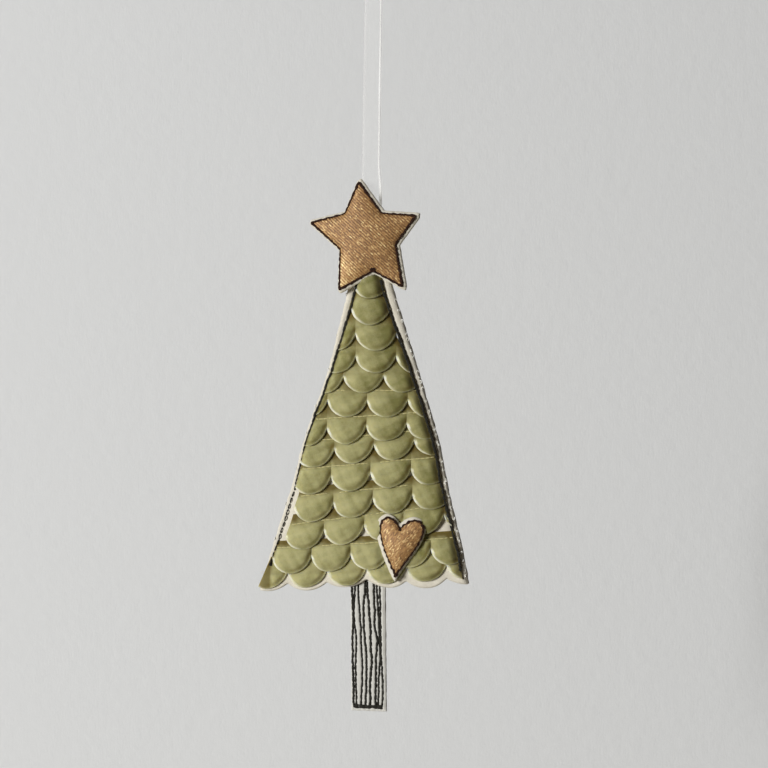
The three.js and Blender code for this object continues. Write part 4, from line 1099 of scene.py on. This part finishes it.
class VelvetRow:
    """One strip of scalloped velvet: where it lies, and how far it stands forward at any place on it."""

    def __init__(self, number):
        reach, cusp, self.climb, short, filled = ROW_SHARES[number]
        self.number = number
        self.reach_z = height_at(reach)
        self.cusp_x = cusp * LOBE_PITCH
        self.left_short = short * LOBE_PITCH
        self.is_hem = number + 1 == len(ROW_SHARES)
        above_reach = ROW_SHARES[number - 1][0] if number else reach - STRIP_HEIGHT / TREE_HEIGHT
        self.covered = STRIP_HEIGHT - (reach - above_reach) * TREE_HEIGHT
        self.heading = filled * (LOBE_DEPTH - self.covered + STRIP_GAP)
        below = None if self.is_hem else ROW_SHARES[number + 1]
        gap = STRIP_HEIGHT if self.is_hem else (below[0] - reach) * TREE_HEIGHT
        lean = 0 if self.is_hem else abs(below[2] - self.climb) * TREE_FOOT_WIDTH / 2
        self.lift_end = min(STRIP_BAND + LIFT_RUN, gap - lean - STRIP_GAP)

    def top_z(self, x):
        return self.reach_z + STRIP_HEIGHT + self.climb * x

    def place(self, x, z):
        """How far down the strip a place is, how far inside a lobe's circle, and how far from its edge."""
        down = self.top_z(x) - z
        across = from_lobe(x, self.cusp_x)
        down_from_centre = down - (STRIP_HEIGHT - LOBE_RADIUS)
        inside = LOBE_RADIUS - np.hypot(across, down_from_centre)
        angle = np.abs(np.arctan2(across, down_from_centre))
        to_cusp = np.hypot(LOBE_PITCH / 2 - np.abs(across), STRIP_HEIGHT - LOBE_DEPTH - down)
        to_edge = np.where(angle <= LOBE_HALF_ANGLE, inside, to_cusp)
        return down, np.maximum(inside, 0), np.maximum(to_edge, 0)

    def seat(self, x, z, down):
        """The height of the strip's back: flat on the felt, then lifted over the next strip."""
        on_heading = HEADING_LIFT * ease(down, STRIP_BAND - LIFT_RUN, STRIP_BAND)
        on_strip = STRIP_LIFT * ease(down, self.lift_end - LIFT_RUN, self.lift_end)
        lift = 0 if self.is_hem else on_heading + on_strip
        return felt_height(x, z) + STRIP_GAP + lift * (0.45 + 0.55 * ease(side_room(x, z), 0, 2))

    def front(self, x, z):
        """The height of the velvet's face, with its padded lobes and their raised rims."""
        down, inside, to_edge = self.place(x, z)
        shoulder = np.clip(inside / LOBE_SHOULDER, 0, 1)
        dome = 1 - (1 - shoulder) ** LOBE_DOME_POWER
        rise = ease(down, self.covered - 0.3, self.covered + CROWN_RUN)
        free = ease(side_room(x, z), -0.5, SIDE_PINCH) * (1 - HEART_PRESS * pressed_by_heart(x, z))
        uneven = 1 + LOBE_UNEVENNESS * patches(x, z, 0.9 + self.number, 16)
        padded = LOBE_CROWN * dome * rise * free * uneven
        hollow = -SEAM_HOLLOW * np.exp(-((to_edge - RIM_WIDTH - SEAM_WIDTH) / SEAM_WIDTH) ** 2)
        rim = RIM_HEIGHT * np.exp(-((to_edge - 0.45 * RIM_WIDTH) / (0.5 * RIM_WIDTH)) ** 2)
        thickness = HEADING_THICKNESS + (STRIP_THICKNESS - HEADING_THICKNESS) * ease(down, 0, 1)
        edging = (hollow + rim) * ease(down, STRIP_BAND - 1.2, STRIP_BAND)
        creased = VELVET_CREASE * patches(x, z, 1.5 + 1.7 * self.number, 4.6)
        creased = creased * ease(down, 0, 2) * ease(to_edge, 0, 1)
        return self.seat(x, z, down) + thickness + padded + edging + creased


rows = [VelvetRow(number) for number in range(len(ROW_SHARES))]


def velvet_front(x, z):
    """The height of whatever velvet shows at a place, or of the felt where none does."""
    height = felt_height(x, z)
    for row in rows:
        down, _, to_edge = row.place(x, z)
        on_strip = (down >= -row.heading) & (to_edge > 0)
        height = np.where(on_strip, np.maximum(height, row.front(x, z)), height)
    return height


def strip_ends(row):
    """The lines that a strip's ends are cut along: a point and the outward direction of each."""
    top, foot = row.top_z(0) + row.heading, row.reach_z
    overhang = np.array((row.left_short - STRIP_OVERHANG, STRIP_OVERHANG))
    at_top, at_foot = (np.array(stitch_lines(z)) + overhang for z in (top, foot))
    if row.is_hem:
        at_foot = np.array(edge_lines(foot)) + np.array(HEM_ROW_INSETS)
    ends = []
    for first, last, sign in zip(at_top, at_foot, (-1, 1)):
        along = Vector((last - first, 0, foot - top))
        outward = Vector((-along.z, 0, along.x)) * sign
        ends.append((Vector((first, 0, top)) * MM, outward.normalized()))
    return ends


def velvet_marks(row, x, z, down, to_edge):
    """How pale a strip's rims are, with a painted highlight, how flattened its pile is, with painted
    shade, and how its pile lies, with painted light and shade, at each of its points.
    """
    across = from_lobe(x, row.cusp_x)
    left, right = stitch_lines(z)
    brushed = 0.5 + 0.5 * patches(x, z, 3.3 + row.number, 9)

    # A lobe's pale rim gets a painted highlight: brightest and widest on its left, towards the window, and by
    # the cusp, and uneven
    uneven = 0.78 + 0.38 * ripple(x + 2 * z, 0.6 + row.number, 7)
    to_left = ease(-across, 0.5, 4.5)
    by_cusp = ease(-across, 4.6, 7.2)
    facing = (0.3 + 0.6 * to_left + 0.3 * by_cusp + 0.08 * ease(across, 3, 6)) * uneven
    lip_width = RIM_WIDTH * (0.5 + 1.2 * to_left * uneven + 0.6 * by_cusp)
    lip = 1 - ease(to_edge, 0.5 * lip_width, lip_width + 0.35)
    rim = np.clip(facing * lip, 0, 1) * ease(down, STRIP_BAND - 0.6, STRIP_BAND + 0.4)

    # Painted shade with some flattened pile: the pile is pressed and crumpled at the seam, and shade is
    # painted at the heading's top under the lobes above, under the strip above, by the side threads, in cusps
    # and inside each lobe's rim on its right
    crumpled = 0.5 + 0.5 * patches(x, z, 1.3 + 2 * row.number, 4.3)
    up_heading = np.clip(-down / max(row.heading, 1), 0, 1)
    sewn = (1 - ease(down, -0.1, 0.9)) * (0.05 + 0.85 * up_heading + 0.5 * crumpled)
    shaded = 1 - ease(down, row.covered - 0.4, row.covered + 1.6)
    by_thread = 1 - np.minimum(ease(x - left, 0.1, 1.1), ease(right - x, 0.1, 3.2))
    in_cusp = np.exp(-(np.abs(across) - LOBE_PITCH / 2) ** 2 / 2.2) * ease(down, 0, 2) * (to_edge > RIM_WIDTH)
    inner_ring = np.exp(-((to_edge - 1.4) / 0.6) ** 2) * np.clip(0.5 + across / 5, 0, 1)
    pressed_and_shade = sewn + 0.45 * shaded * brushed + 0.7 * by_thread + 0.8 * inner_ring * brushed + 0.35 * in_cusp

    # Painted light and shade on the nap: palest high and left on each lobe, towards the window, and low and
    # left on the tree, darker towards its right, with random patches
    below = np.clip((down - row.covered) / (STRIP_HEIGHT - row.covered), -0.2, 1)
    nap_light_and_shade = 0.5 - 0.045 * across + 0.3 * (0.45 - below) + 0.34 * patches(x, z, 5.1 + row.number, 8)
    nap_light_and_shade = nap_light_and_shade + 0.2 * patches(x, z, 2.2 + 1.4 * row.number, 3.4) + 0.5 * (down_share(z) - 0.45)
    nap_light_and_shade = nap_light_and_shade - 0.35 * ease((x - left) / (right - left), 0.55, 1)
    marks = {"rim": rim, "pressed_and_shade": np.clip(pressed_and_shade, 0, 1), "nap_light_and_shade": nap_light_and_shade}
    return {name: np.tile(values.ravel(), 2) for name, values in marks.items()}


def make_velvet_row(row):
    half = TREE_FOOT_WIDTH / 2 + 1
    first = math.floor((-half - row.cusp_x) / LOBE_PITCH)
    last = math.ceil((half - row.cusp_x) / LOBE_PITCH)
    turns = np.linspace(-LOBE_HALF_ANGLE, LOBE_HALF_ANGLE, 31)
    x, lengths = [], []
    for lobe in range(first, last):
        keep = turns if lobe == first else turns[1:]
        x.append(row.cusp_x + (lobe + 0.5) * LOBE_PITCH + LOBE_RADIUS * np.sin(keep))
        lengths.append(STRIP_HEIGHT - LOBE_RADIUS * (1 - np.cos(keep)) + row.heading)
    x, lengths = np.concatenate(x)[:, None], np.concatenate(lengths)[:, None]
    shares = rounded_steps(0, 1, 34, 0.08)[None, :]
    z = row.top_z(x) + row.heading - lengths * shares
    down, _, to_edge = row.place(x, z)
    ragged = STRIP_RAGGED_CUT * ripple(x, 1.7 * row.number, 2.4) * ease(down, STRIP_BAND, STRIP_HEIGHT)
    sag = HAND_CUT * ripple(x, 2.3 * row.number + 0.8, 19) * ease(down, 0, STRIP_HEIGHT)
    sway = HAND_CUT * ripple(x, 1.1 * row.number + 2.8, 23)
    from_top = down + row.heading
    drop = edge_drop(np.where(from_top < 0.5, from_top, to_edge), STRIP_ROUND)
    front_height = row.front(x, z) - drop
    back_height = row.seat(x, z, down) + 0.3 * drop
    front = grid_of(x + sway, PANEL_FRONT_Y - front_height, z - ragged - sag)
    back = grid_of(x + sway, PANEL_FRONT_Y - back_height, z - ragged - sag)
    points, faces = close_grids(front, back)
    piece = add_piece(f"velvet_row_{row.number + 1:02d}", points, faces, olive_velvet,
                      cloth_map=points[:, [0, 2]], marks=velvet_marks(row, x, z, down, to_edge))
    cut_strip(piece, strip_ends(row))
    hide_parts(f"trim_row_{row.number + 1:02d}")


def cut_strip(piece, ends):
    """Cuts a strip's two ends off and closes the cuts."""
    shape = bmesh.new()
    shape.from_mesh(piece.data)
    for place, outward in ends:
        everything = shape.verts[:] + shape.edges[:] + shape.faces[:]
        cut = bmesh.ops.bisect_plane(
            shape, geom=everything, plane_co=place, plane_no=outward, clear_outer=True,
        )
        edges = [part for part in cut["geom_cut"] if isinstance(part, bmesh.types.BMEdge)]
        filled = bmesh.ops.holes_fill(shape, edges=edges, sides=0)
        bmesh.ops.triangulate(shape, faces=filled["faces"])
    keep_largest(shape)
    bmesh.ops.recalc_face_normals(shape, faces=shape.faces)
    shape.to_mesh(piece.data)
    shape.free()
    piece.data.update()


def keep_largest(shape):
    """Drops the loose slivers that a cut leaves beside a strip."""
    waiting, groups = set(shape.verts), []
    while waiting:
        group, edge = set(), [waiting.pop()]
        while edge:
            point = edge.pop()
            group.add(point)
            for link in point.link_edges:
                other = link.other_vert(point)
                if other in waiting:
                    waiting.remove(other)
                    edge.append(other)
        groups.append(group)
    groups.sort(key=len)
    bmesh.ops.delete(shape, geom=[point for group in groups[:-1] for point in group], context="VERTS")


for velvet_row in rows:
    make_velvet_row(velvet_row)


# The straw-coloured machine stitching along a strip's top edge, on the rows where the pile leaves it bare

def make_strip_stitching():
    parts = []
    for row in rows[SEEN_STITCHING_FROM:SEEN_STITCHING_TO]:
        x = np.arange(-TREE_FOOT_WIDTH / 2, TREE_FOOT_WIDTH / 2, 0.3)
        z = row.top_z(x) - STRIP_STITCH_INSET + 0.15 * ripple(x, row.number, 13)
        inside = side_room(x, z) > (row.left_short * (x < 0)) + STRIP_STITCH_INSET
        x, z = x[inside], z[inside]
        height = row.front(x, z) + 0.1 - 0.5 * ease(ripple(x, row.number + 4, 17), 0.25, 0.6)
        path = (x, PANEL_FRONT_Y - height, z)
        parts.append(strand(path, STRIP_THREAD_RADIUS, sides=5, stitch=STRIP_STITCH_LENGTH, pinch=0.75))
    piece = add_strands("strip_stitching", parts, gold_thread)


make_strip_stitching()


# Side stitching through all the layers

def make_side_stitching(name, side, seed, sink, thinning):
    """Two strands of thread down one side, 0 the left and 1 the right. The stitches sink by a depth, and with
    a thinning share the strands close up and thin on their way down."""
    z = STITCH_TOP_Z - np.arange(0, STITCH_TOP_Z - STITCH_FOOT_Z, SIDE_THREAD_STEP)
    close = ease(-z, *STRANDS_CLOSE_DEPTHS)
    together = close if thinning else 0
    parts = []
    for number, (lean, thickness) in enumerate(SIDE_STRANDS):
        own = 0.1 * ripple(z, seed + 3 * number, 3.1) + lean * np.sin(z * 0.55 + number)
        x = stitch_lines(z)[side] + 0.16 * ripple(z, seed, 11) + own * (1 - 0.8 * together)
        height = running_mean(velvet_front(x, z), 5)
        dip = sink * needle_holes(z, 6) * ease(-z, *STITCHES_SINK_DEPTHS) + 0.15
        y = PANEL_FRONT_Y - height - 0.2 + dip
        parts.append(strand((x, y, z), SIDE_THREAD_RADIUS * (1 - thinning * close) * thickness, pinch=0.45))
    foot = (stitch_lines(STITCH_FOOT_Z)[side], STITCH_FOOT_Z)
    parts.append(knot(foot, SIDE_KNOT_RADIUS, seed, (1, 0.12, 1.1), over_velvet))
    piece = add_strands(name, parts, black_thread)
    return piece


def running_mean(values, reach):
    """Each value evened out with as many neighbours as the reach on either side."""
    width = 2 * reach + 1
    return np.convolve(np.pad(values, reach, mode="edge"), np.ones(width) / width, "valid")


def over_velvet(x, z):
    """The depth of a thread that lies a hair in front of the velvet."""
    return PANEL_FRONT_Y - velvet_front(x, z) - 0.1


def knot(place, radius, seed, stretch, depth_at):
    """A few turns of thread pulled tight at a place. stretch has how wide, deep and tall they wind."""
    turns = np.linspace(0, KNOT_TURNS * TURN, 46)
    wind = radius * (0.45 + 0.25 * np.sin(1.7 * turns + seed))
    x = place[0] + stretch[0] * wind * np.cos(turns)
    z = place[1] + stretch[2] * wind * np.sin(turns)
    y = depth_at(x, z) - stretch[1] * np.sin(2.3 * turns)
    return strand((x, y, z), KNOT_THREAD_RADIUS, stitch=9, pinch=0)


left_stitching = make_side_stitching("left_stitching", 0, 0.8, LEFT_STITCH_SINK, LEFT_THREAD_THINNING)
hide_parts("edge_stitch_left")
right_stitching = make_side_stitching("right_stitching", 1, 2.9, RIGHT_STITCH_SINK, 0)
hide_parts("edge_stitch_right")


# Puffed shapes: felt backing, stuffing, gold cloth and its outline stitching

def swell(flat, faces, border):
    """How a sheet held down at its edge swells when blown up: 0 at the edge and 1 at its fullest."""
    count = len(flat)
    weights = np.zeros((count, count))
    for face in faces:
        for one, two, far in ((0, 1, 2), (1, 2, 0), (2, 0, 1)):
            a = flat[face[one]] - flat[face[far]]
            b = flat[face[two]] - flat[face[far]]
            bend = float(a @ b) / max(abs(float(a[0] * b[1] - a[1] * b[0])), 1e-9)
            weights[face[one], face[two]] -= bend / 2
            weights[face[two], face[one]] -= bend / 2
    np.fill_diagonal(weights, -weights.sum(axis=1))
    inner = np.arange(border, count)
    rise = np.zeros(count)
    rise[inner] = np.linalg.solve(weights[np.ix_(inner, inner)], np.ones(len(inner)))
    return rise / rise.max()


def make_backing(name, outline, margin, shift, back_y):
    """The felt under the gold cloth, cut by hand a little outside its outline."""
    centre = middle_of(outline)
    line = even_outline(offset_outline(outline, margin) + np.array(shift), 0.5)
    uneven = ripple(np.arange(len(line)) * 0.5, 1.2, 6)[:, None] * 0.1
    line = line + uneven * (line - centre) / np.linalg.norm(line - centre, axis=1)[:, None]
    flat, faces = fill_outline(line, 0.8)
    drop = edge_drop(distance_to(flat, line), PATCH_ROUND)
    front_y = back_y - FELT_THICKNESS + drop + PLAIN_FELT_LUMPS * patches(flat[:, 0], flat[:, 1], 0.4, 4)
    shape = close_patch(flat, faces, len(line), front_y, back_y - 0.3 * drop)
    felt = add_piece(f"{name}_felt", *shape, cream_felt)
    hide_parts(f"{name}_backing")


def make_gold_cloth(name, outline, puff, finish, spacing, seat_y):
    """The gold cloth, blown up by the stuffing under it and drawn in by the stitches round it."""
    line = even_outline(offset_outline(outline, 0.12), 0.5)
    flat, faces = fill_outline(line, spacing)
    x, z = flat[:, 0], flat[:, 1]
    rise = swell(flat, faces, len(line)) ** PUFF_SHOULDER
    to_edge = distance_to(flat, line)
    drawn = 0.1 * np.exp(-to_edge / 1.2) * ripple(x + 1.3 * z, 0.6, 2.4) * ease(to_edge, 0, 0.6)
    swelling = puff * rise + drawn + 0.06 * patches(x, z, 2.2, 7)
    shape = close_patch(flat, faces, len(line), seat_y - 0.3 - swelling, seat_y + 0.02)
    face = add_piece(f"{name}_gold_cloth", *shape, finish)
    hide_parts(f"{name}_face")

    centre = middle_of(outline)
    inner = centre + (flat - centre) * STUFFING_SHARE
    shape = close_patch(inner, faces, len(line), seat_y - 0.1 - 0.7 * swelling, seat_y - 0.05)
    stuffing = add_piece(f"{name}_stuffing", *shape, wadding_fill)
    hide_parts(f"{name}_wadding")


def make_outline_stitching(name, outline, knots, thread_radius, scallop, seat_y):
    """Two strands round the outline, which bow inwards by a scallop between needle holes, and their knots."""
    loop = even_outline(outline, THREAD_STEP)
    reach = np.arange(len(loop)) * THREAD_STEP
    ahead = np.roll(loop, -1, axis=0) - np.roll(loop, 1, axis=0)
    outward = np.stack([ahead[:, 1], -ahead[:, 0]], axis=1) / np.linalg.norm(ahead, axis=1)[:, None]
    parts = []
    for number, offset in enumerate((-0.5, 0.5)):
        wander = offset * thread_radius * np.cos(reach * 0.9) + 0.1 * ripple(reach, 1.4 + number, 3.3) - 0.06
        wander = wander - scallop * np.abs(np.sin(math.pi * reach / STITCH_LENGTH))
        line = loop + outward * wander[:, None]
        y = seat_y - 0.42 - 0.08 * number + 0.2 * needle_holes(reach, 8, phase=number)
        parts.append(strand((line[:, 0], y, line[:, 1]), thread_radius, closed=True, pinch=0.25))
    for place, radius, seed in knots:
        parts.append(knot(place, radius, seed, (1.2, 0.15, 1), lambda x, z: seat_y - KNOT_LIFT))
    stitching = add_strands(f"{name}_stitching", parts, brown_thread)
    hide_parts(f"{name}_outline_stitch")


def seat_of(name):
    """The depths of a felt backing's back and of its face."""
    _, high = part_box(f"{name}_backing")
    return high.y / MM, high.y / MM - FELT_THICKNESS


back_of_star, face_of_star = seat_of("star")
star_knot = star_point(*STAR_POINT_SHARES[STAR_KNOT_POINT]) + np.array((0, STAR_KNOT_RISE))
make_backing("star", star_line, STAR_FELT_MARGIN, STAR_FELT_SHIFT, back_of_star)
make_gold_cloth("star", star_line, STAR_PUFF, star_gold, STAR_CLOTH_SPACING, face_of_star)
make_outline_stitching("star", star_line, [(star_knot, STAR_KNOT_RADIUS, 0.4)], STAR_THREAD_RADIUS,
                       STAR_SCALLOP, face_of_star)

back_of_heart, face_of_heart = seat_of("heart")
below_notch = np.array(HEART_NOTCH) - np.array((0, NOTCH_KNOT_DROP))
above_tip = heart_line[np.argmin(heart_line[:, 1])] + np.array((0, TIP_KNOT_RISE))
make_backing("heart", heart_line, HEART_FELT_MARGIN, HEART_FELT_SHIFT, back_of_heart)
make_gold_cloth("heart", heart_line, HEART_PUFF, heart_gold, HEART_CLOTH_SPACING, face_of_heart)
heart_knots = [(below_notch, NOTCH_KNOT_RADIUS, 1.2), (above_tip, TIP_KNOT_RADIUS, 2)]
make_outline_stitching("heart", heart_line, heart_knots, HEART_THREAD_RADIUS, HEART_SCALLOP, face_of_heart)


# Trunk

TRUNK_FOOT_Z = height_at(1) - TRUNK_LENGTH
TRUNK_TOP_Z = height_at(1) + TRUNK_TUCK


def trunk_centre(z):
    return TRUNK_X + TRUNK_LEAN * (height_at(1) - z) / TRUNK_LENGTH


def trunk_lines(z):
    """Where each wandering line of trunk stitching crosses a height."""
    top_z, foot_z = height_at(1) - HEM_MARGIN, TRUNK_FOOT_Z + TRUNK_STITCH_END_INSET
    down = np.clip((top_z - z) / (top_z - foot_z), 0, 1)
    lines = []
    for number, table in enumerate(TRUNK_LINE_SHARES):
        across = share_at(table, down, TRUNK_LINE_EASE_SHARE)
        wander = 0.12 * ripple(z, 2.3 * number + 0.4, 7) + 0.09 * ripple(z, number, 2.9)
        lines.append(trunk_centre(z) + (across - 0.5) * TRUNK_WIDTH + wander)
    return lines


def trunk_grid(inset, top_inset, seed, columns=90, rows=110):
    shares = rounded_steps(0, 1, columns, 0.06)[:, None]
    z = rounded_steps(TRUNK_TOP_Z - top_inset, TRUNK_FOOT_Z + inset, rows, -1.2)[None, :]
    half = TRUNK_WIDTH / 2 - inset
    left = trunk_centre(z) - half + 0.12 * ripple(z, seed, 8) + 0.05 * ripple(z, seed + 1, 1.9)
    right = trunk_centre(z) + half + 0.12 * ripple(z, seed + 3, 9) + 0.05 * ripple(z, seed + 5, 1.7)
    x = left + (right - left) * shares
    z = z + 0 * x + 0.12 * ripple(x, seed, 5) * ease(TRUNK_FOOT_Z + 2 - z, 0, 2)
    return x, z, np.minimum(np.minimum(x - left, right - x), np.abs(z - TRUNK_FOOT_Z - inset))


def make_trunk():
    front_low, front_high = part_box("trunk_front")
    back_low, back_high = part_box("trunk_back")
    pad_low, pad_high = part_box("trunk_wadding")

    x, z, to_edge = trunk_grid(0, 0, 0.3)
    drop = edge_drop(to_edge, TRUNK_EDGE_ROUND)
    sewn = sum(np.exp(-((x - line) / TRUNK_QUILT_WIDTH) ** 2) for line in trunk_lines(z))
    quilted = TRUNK_QUILT * (1 - sewn) * ease(to_edge, 0, 1.2) + 0.05 * patches(x, z, 0.3, 5)
    front = grid_of(x, front_low.y / MM - quilted + drop, z)
    back = grid_of(x, front_high.y / MM, z)
    cloth = add_piece("trunk_cloth", *close_grids(front, back), bleached_cotton)
    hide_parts("trunk_front")

    x, z, to_edge = trunk_grid(0.1, 0, 4.4, 30, 60)
    drop = edge_drop(to_edge, TRUNK_EDGE_ROUND)
    front = grid_of(x, back_low.y / MM, z)
    back = grid_of(x, back_high.y / MM - drop + 0.04 * patches(x, z, 1, 6), z)
    lining = add_piece("trunk_lining", *close_grids(front, back), bleached_cotton)
    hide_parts("trunk_back")

    x, z, to_edge = trunk_grid(0.35, 1, 6.4, 30, 80)
    drop = edge_drop(to_edge, 0.25)
    front = grid_of(x, pad_low.y / MM - 0.1 + drop, z)
    back = grid_of(x, pad_high.y / MM + 0.1 - drop, z)
    pad = add_piece("trunk_pad", *close_grids(front, back), wadding_fill)
    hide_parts("trunk_wadding")
    make_trunk_stitching(front_low.y / MM)


def make_trunk_stitching(front_y):
    top_z, foot_z = height_at(1) - HEM_MARGIN + 3, TRUNK_FOOT_Z + TRUNK_STITCH_END_INSET
    z = np.arange(top_z, foot_z, -THREAD_STEP)
    parts = []
    for number, x in enumerate(trunk_lines(z)):
        y = front_y - 0.12 + TRUNK_STITCH_SINK * needle_holes(top_z - z, 8, phase=number)
        thick = TRUNK_THREAD_RADIUS * (1 + 0.14 * math.sin(5.1 * number))
        parts.append(strand((x, y, z), thick, pinch=0.3))
    ends = trunk_lines(np.array([foot_z]))
    across = np.arange(ends[0][0] - 0.3, ends[-1][0] + 0.3, THREAD_STEP)
    for lift, seed in ((-0.2, 1.1), (0.35, 2.4)):
        foot_line = foot_z + lift + 0.2 * ripple(across, seed, 4)
        parts.append(strand((across, front_y - 0.16, foot_line), TRUNK_THREAD_RADIUS, pinch=0.3))
    stitching = add_strands("trunk_stitch_lines", parts, black_thread)
    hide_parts("trunk_stitching")


make_trunk()


# Stage: a pale wall, far enough behind for the tree to swing back, a pale floor and soft light from the left

def stage_plane(name, reach, place, turn, finish):
    bpy.ops.mesh.primitive_plane_add(size=2 * reach * MM, location=Vector(place) * MM, rotation=turn)
    plane = bpy.context.object
    plane.name = name
    bpy.ops.object.transform_apply(location=True, rotation=True, scale=True)
    plane.data.materials.append(finish)


def make_stage():
    """The wall is clear when it is looked at from behind, and then it also lets the rear lamp through."""
    wall, tree, shader = paint_finish("painted_wall", "#dcdddd")
    behind = node(tree, "NewGeometry").outputs["Backfacing"]
    rays = node(tree, "LightPath").outputs
    passing = combine(tree, "GREATER_THAN", rays["Transparent Depth"], 0.5)
    hidden = combine(tree, "GREATER_THAN", passing, rays["Is Camera Ray"])
    open_way = combine(tree, "MAXIMUM", hidden, behind)
    clear = node(tree, "BsdfTransparent")
    seen = node(tree, "MixShader", {0: open_way, 1: shader.outputs[0], 2: clear.outputs[0]})
    output = next(part for part in tree.nodes if part.type == "OUTPUT_MATERIAL")
    tree.links.new(seen.outputs[0], output.inputs["Surface"])
    stage_plane("wall", WALL_REACH, (0, WALL_Y, FLOOR_Z + WALL_REACH), (math.pi / 2, 0, 0), wall)
    floor, _, _ = paint_finish("pale_floor", "#dcd7cb")
    stage_plane("floor", FLOOR_REACH, (0, 0, FLOOR_Z), (0, 0, 0), floor)


def add_lamp(name, place, watts):
    towards = (Vector(VIEW_CENTRE) - Vector(place)).to_track_quat("-Z", "Y").to_euler()
    bpy.ops.object.light_add(type="AREA", location=Vector(place) * MM, rotation=towards)
    lamp = bpy.context.object
    lamp.name = name
    lamp.data.shape = "RECTANGLE"
    lamp.data.size, lamp.data.size_y = (side * MM for side in LAMP_SIZE)
    lamp.data.energy = watts


def make_light():
    """A window lamp, a rear lamp for the back, a little warm light from the room, and a pale backdrop."""
    world = bpy.data.worlds.new("studio")
    world.use_nodes = True
    tree = world.node_tree
    tree.nodes.clear()
    rays = node(tree, "LightPath").outputs
    looked_at = combine(tree, "ADD", rays["Is Camera Ray"], rays["Is Glossy Ray"])
    looked_at = combine(tree, "ADD", looked_at, rays["Is Transmission Ray"], use_clamp=True)
    warm_fill, pale_room = (
        node(tree, "Background", {"Color": linear(code), "Strength": strength}).outputs[0]
        for code, strength in (("#f1d09c", FILL_STRENGTH), ("#d4d4d3", 1))
    )
    both = node(tree, "MixShader", {0: looked_at, 1: warm_fill, 2: pale_room})
    node(tree, "OutputWorld", {"Surface": both.outputs[0]})
    bpy.context.scene.world = world
    add_lamp("window", WINDOW_PLACE, WINDOW_WATTS)
    add_lamp("rear", REAR_PLACE, REAR_WATTS)


make_stage()
make_light()
bpy.context.scene.view_settings.view_transform = "Standard"
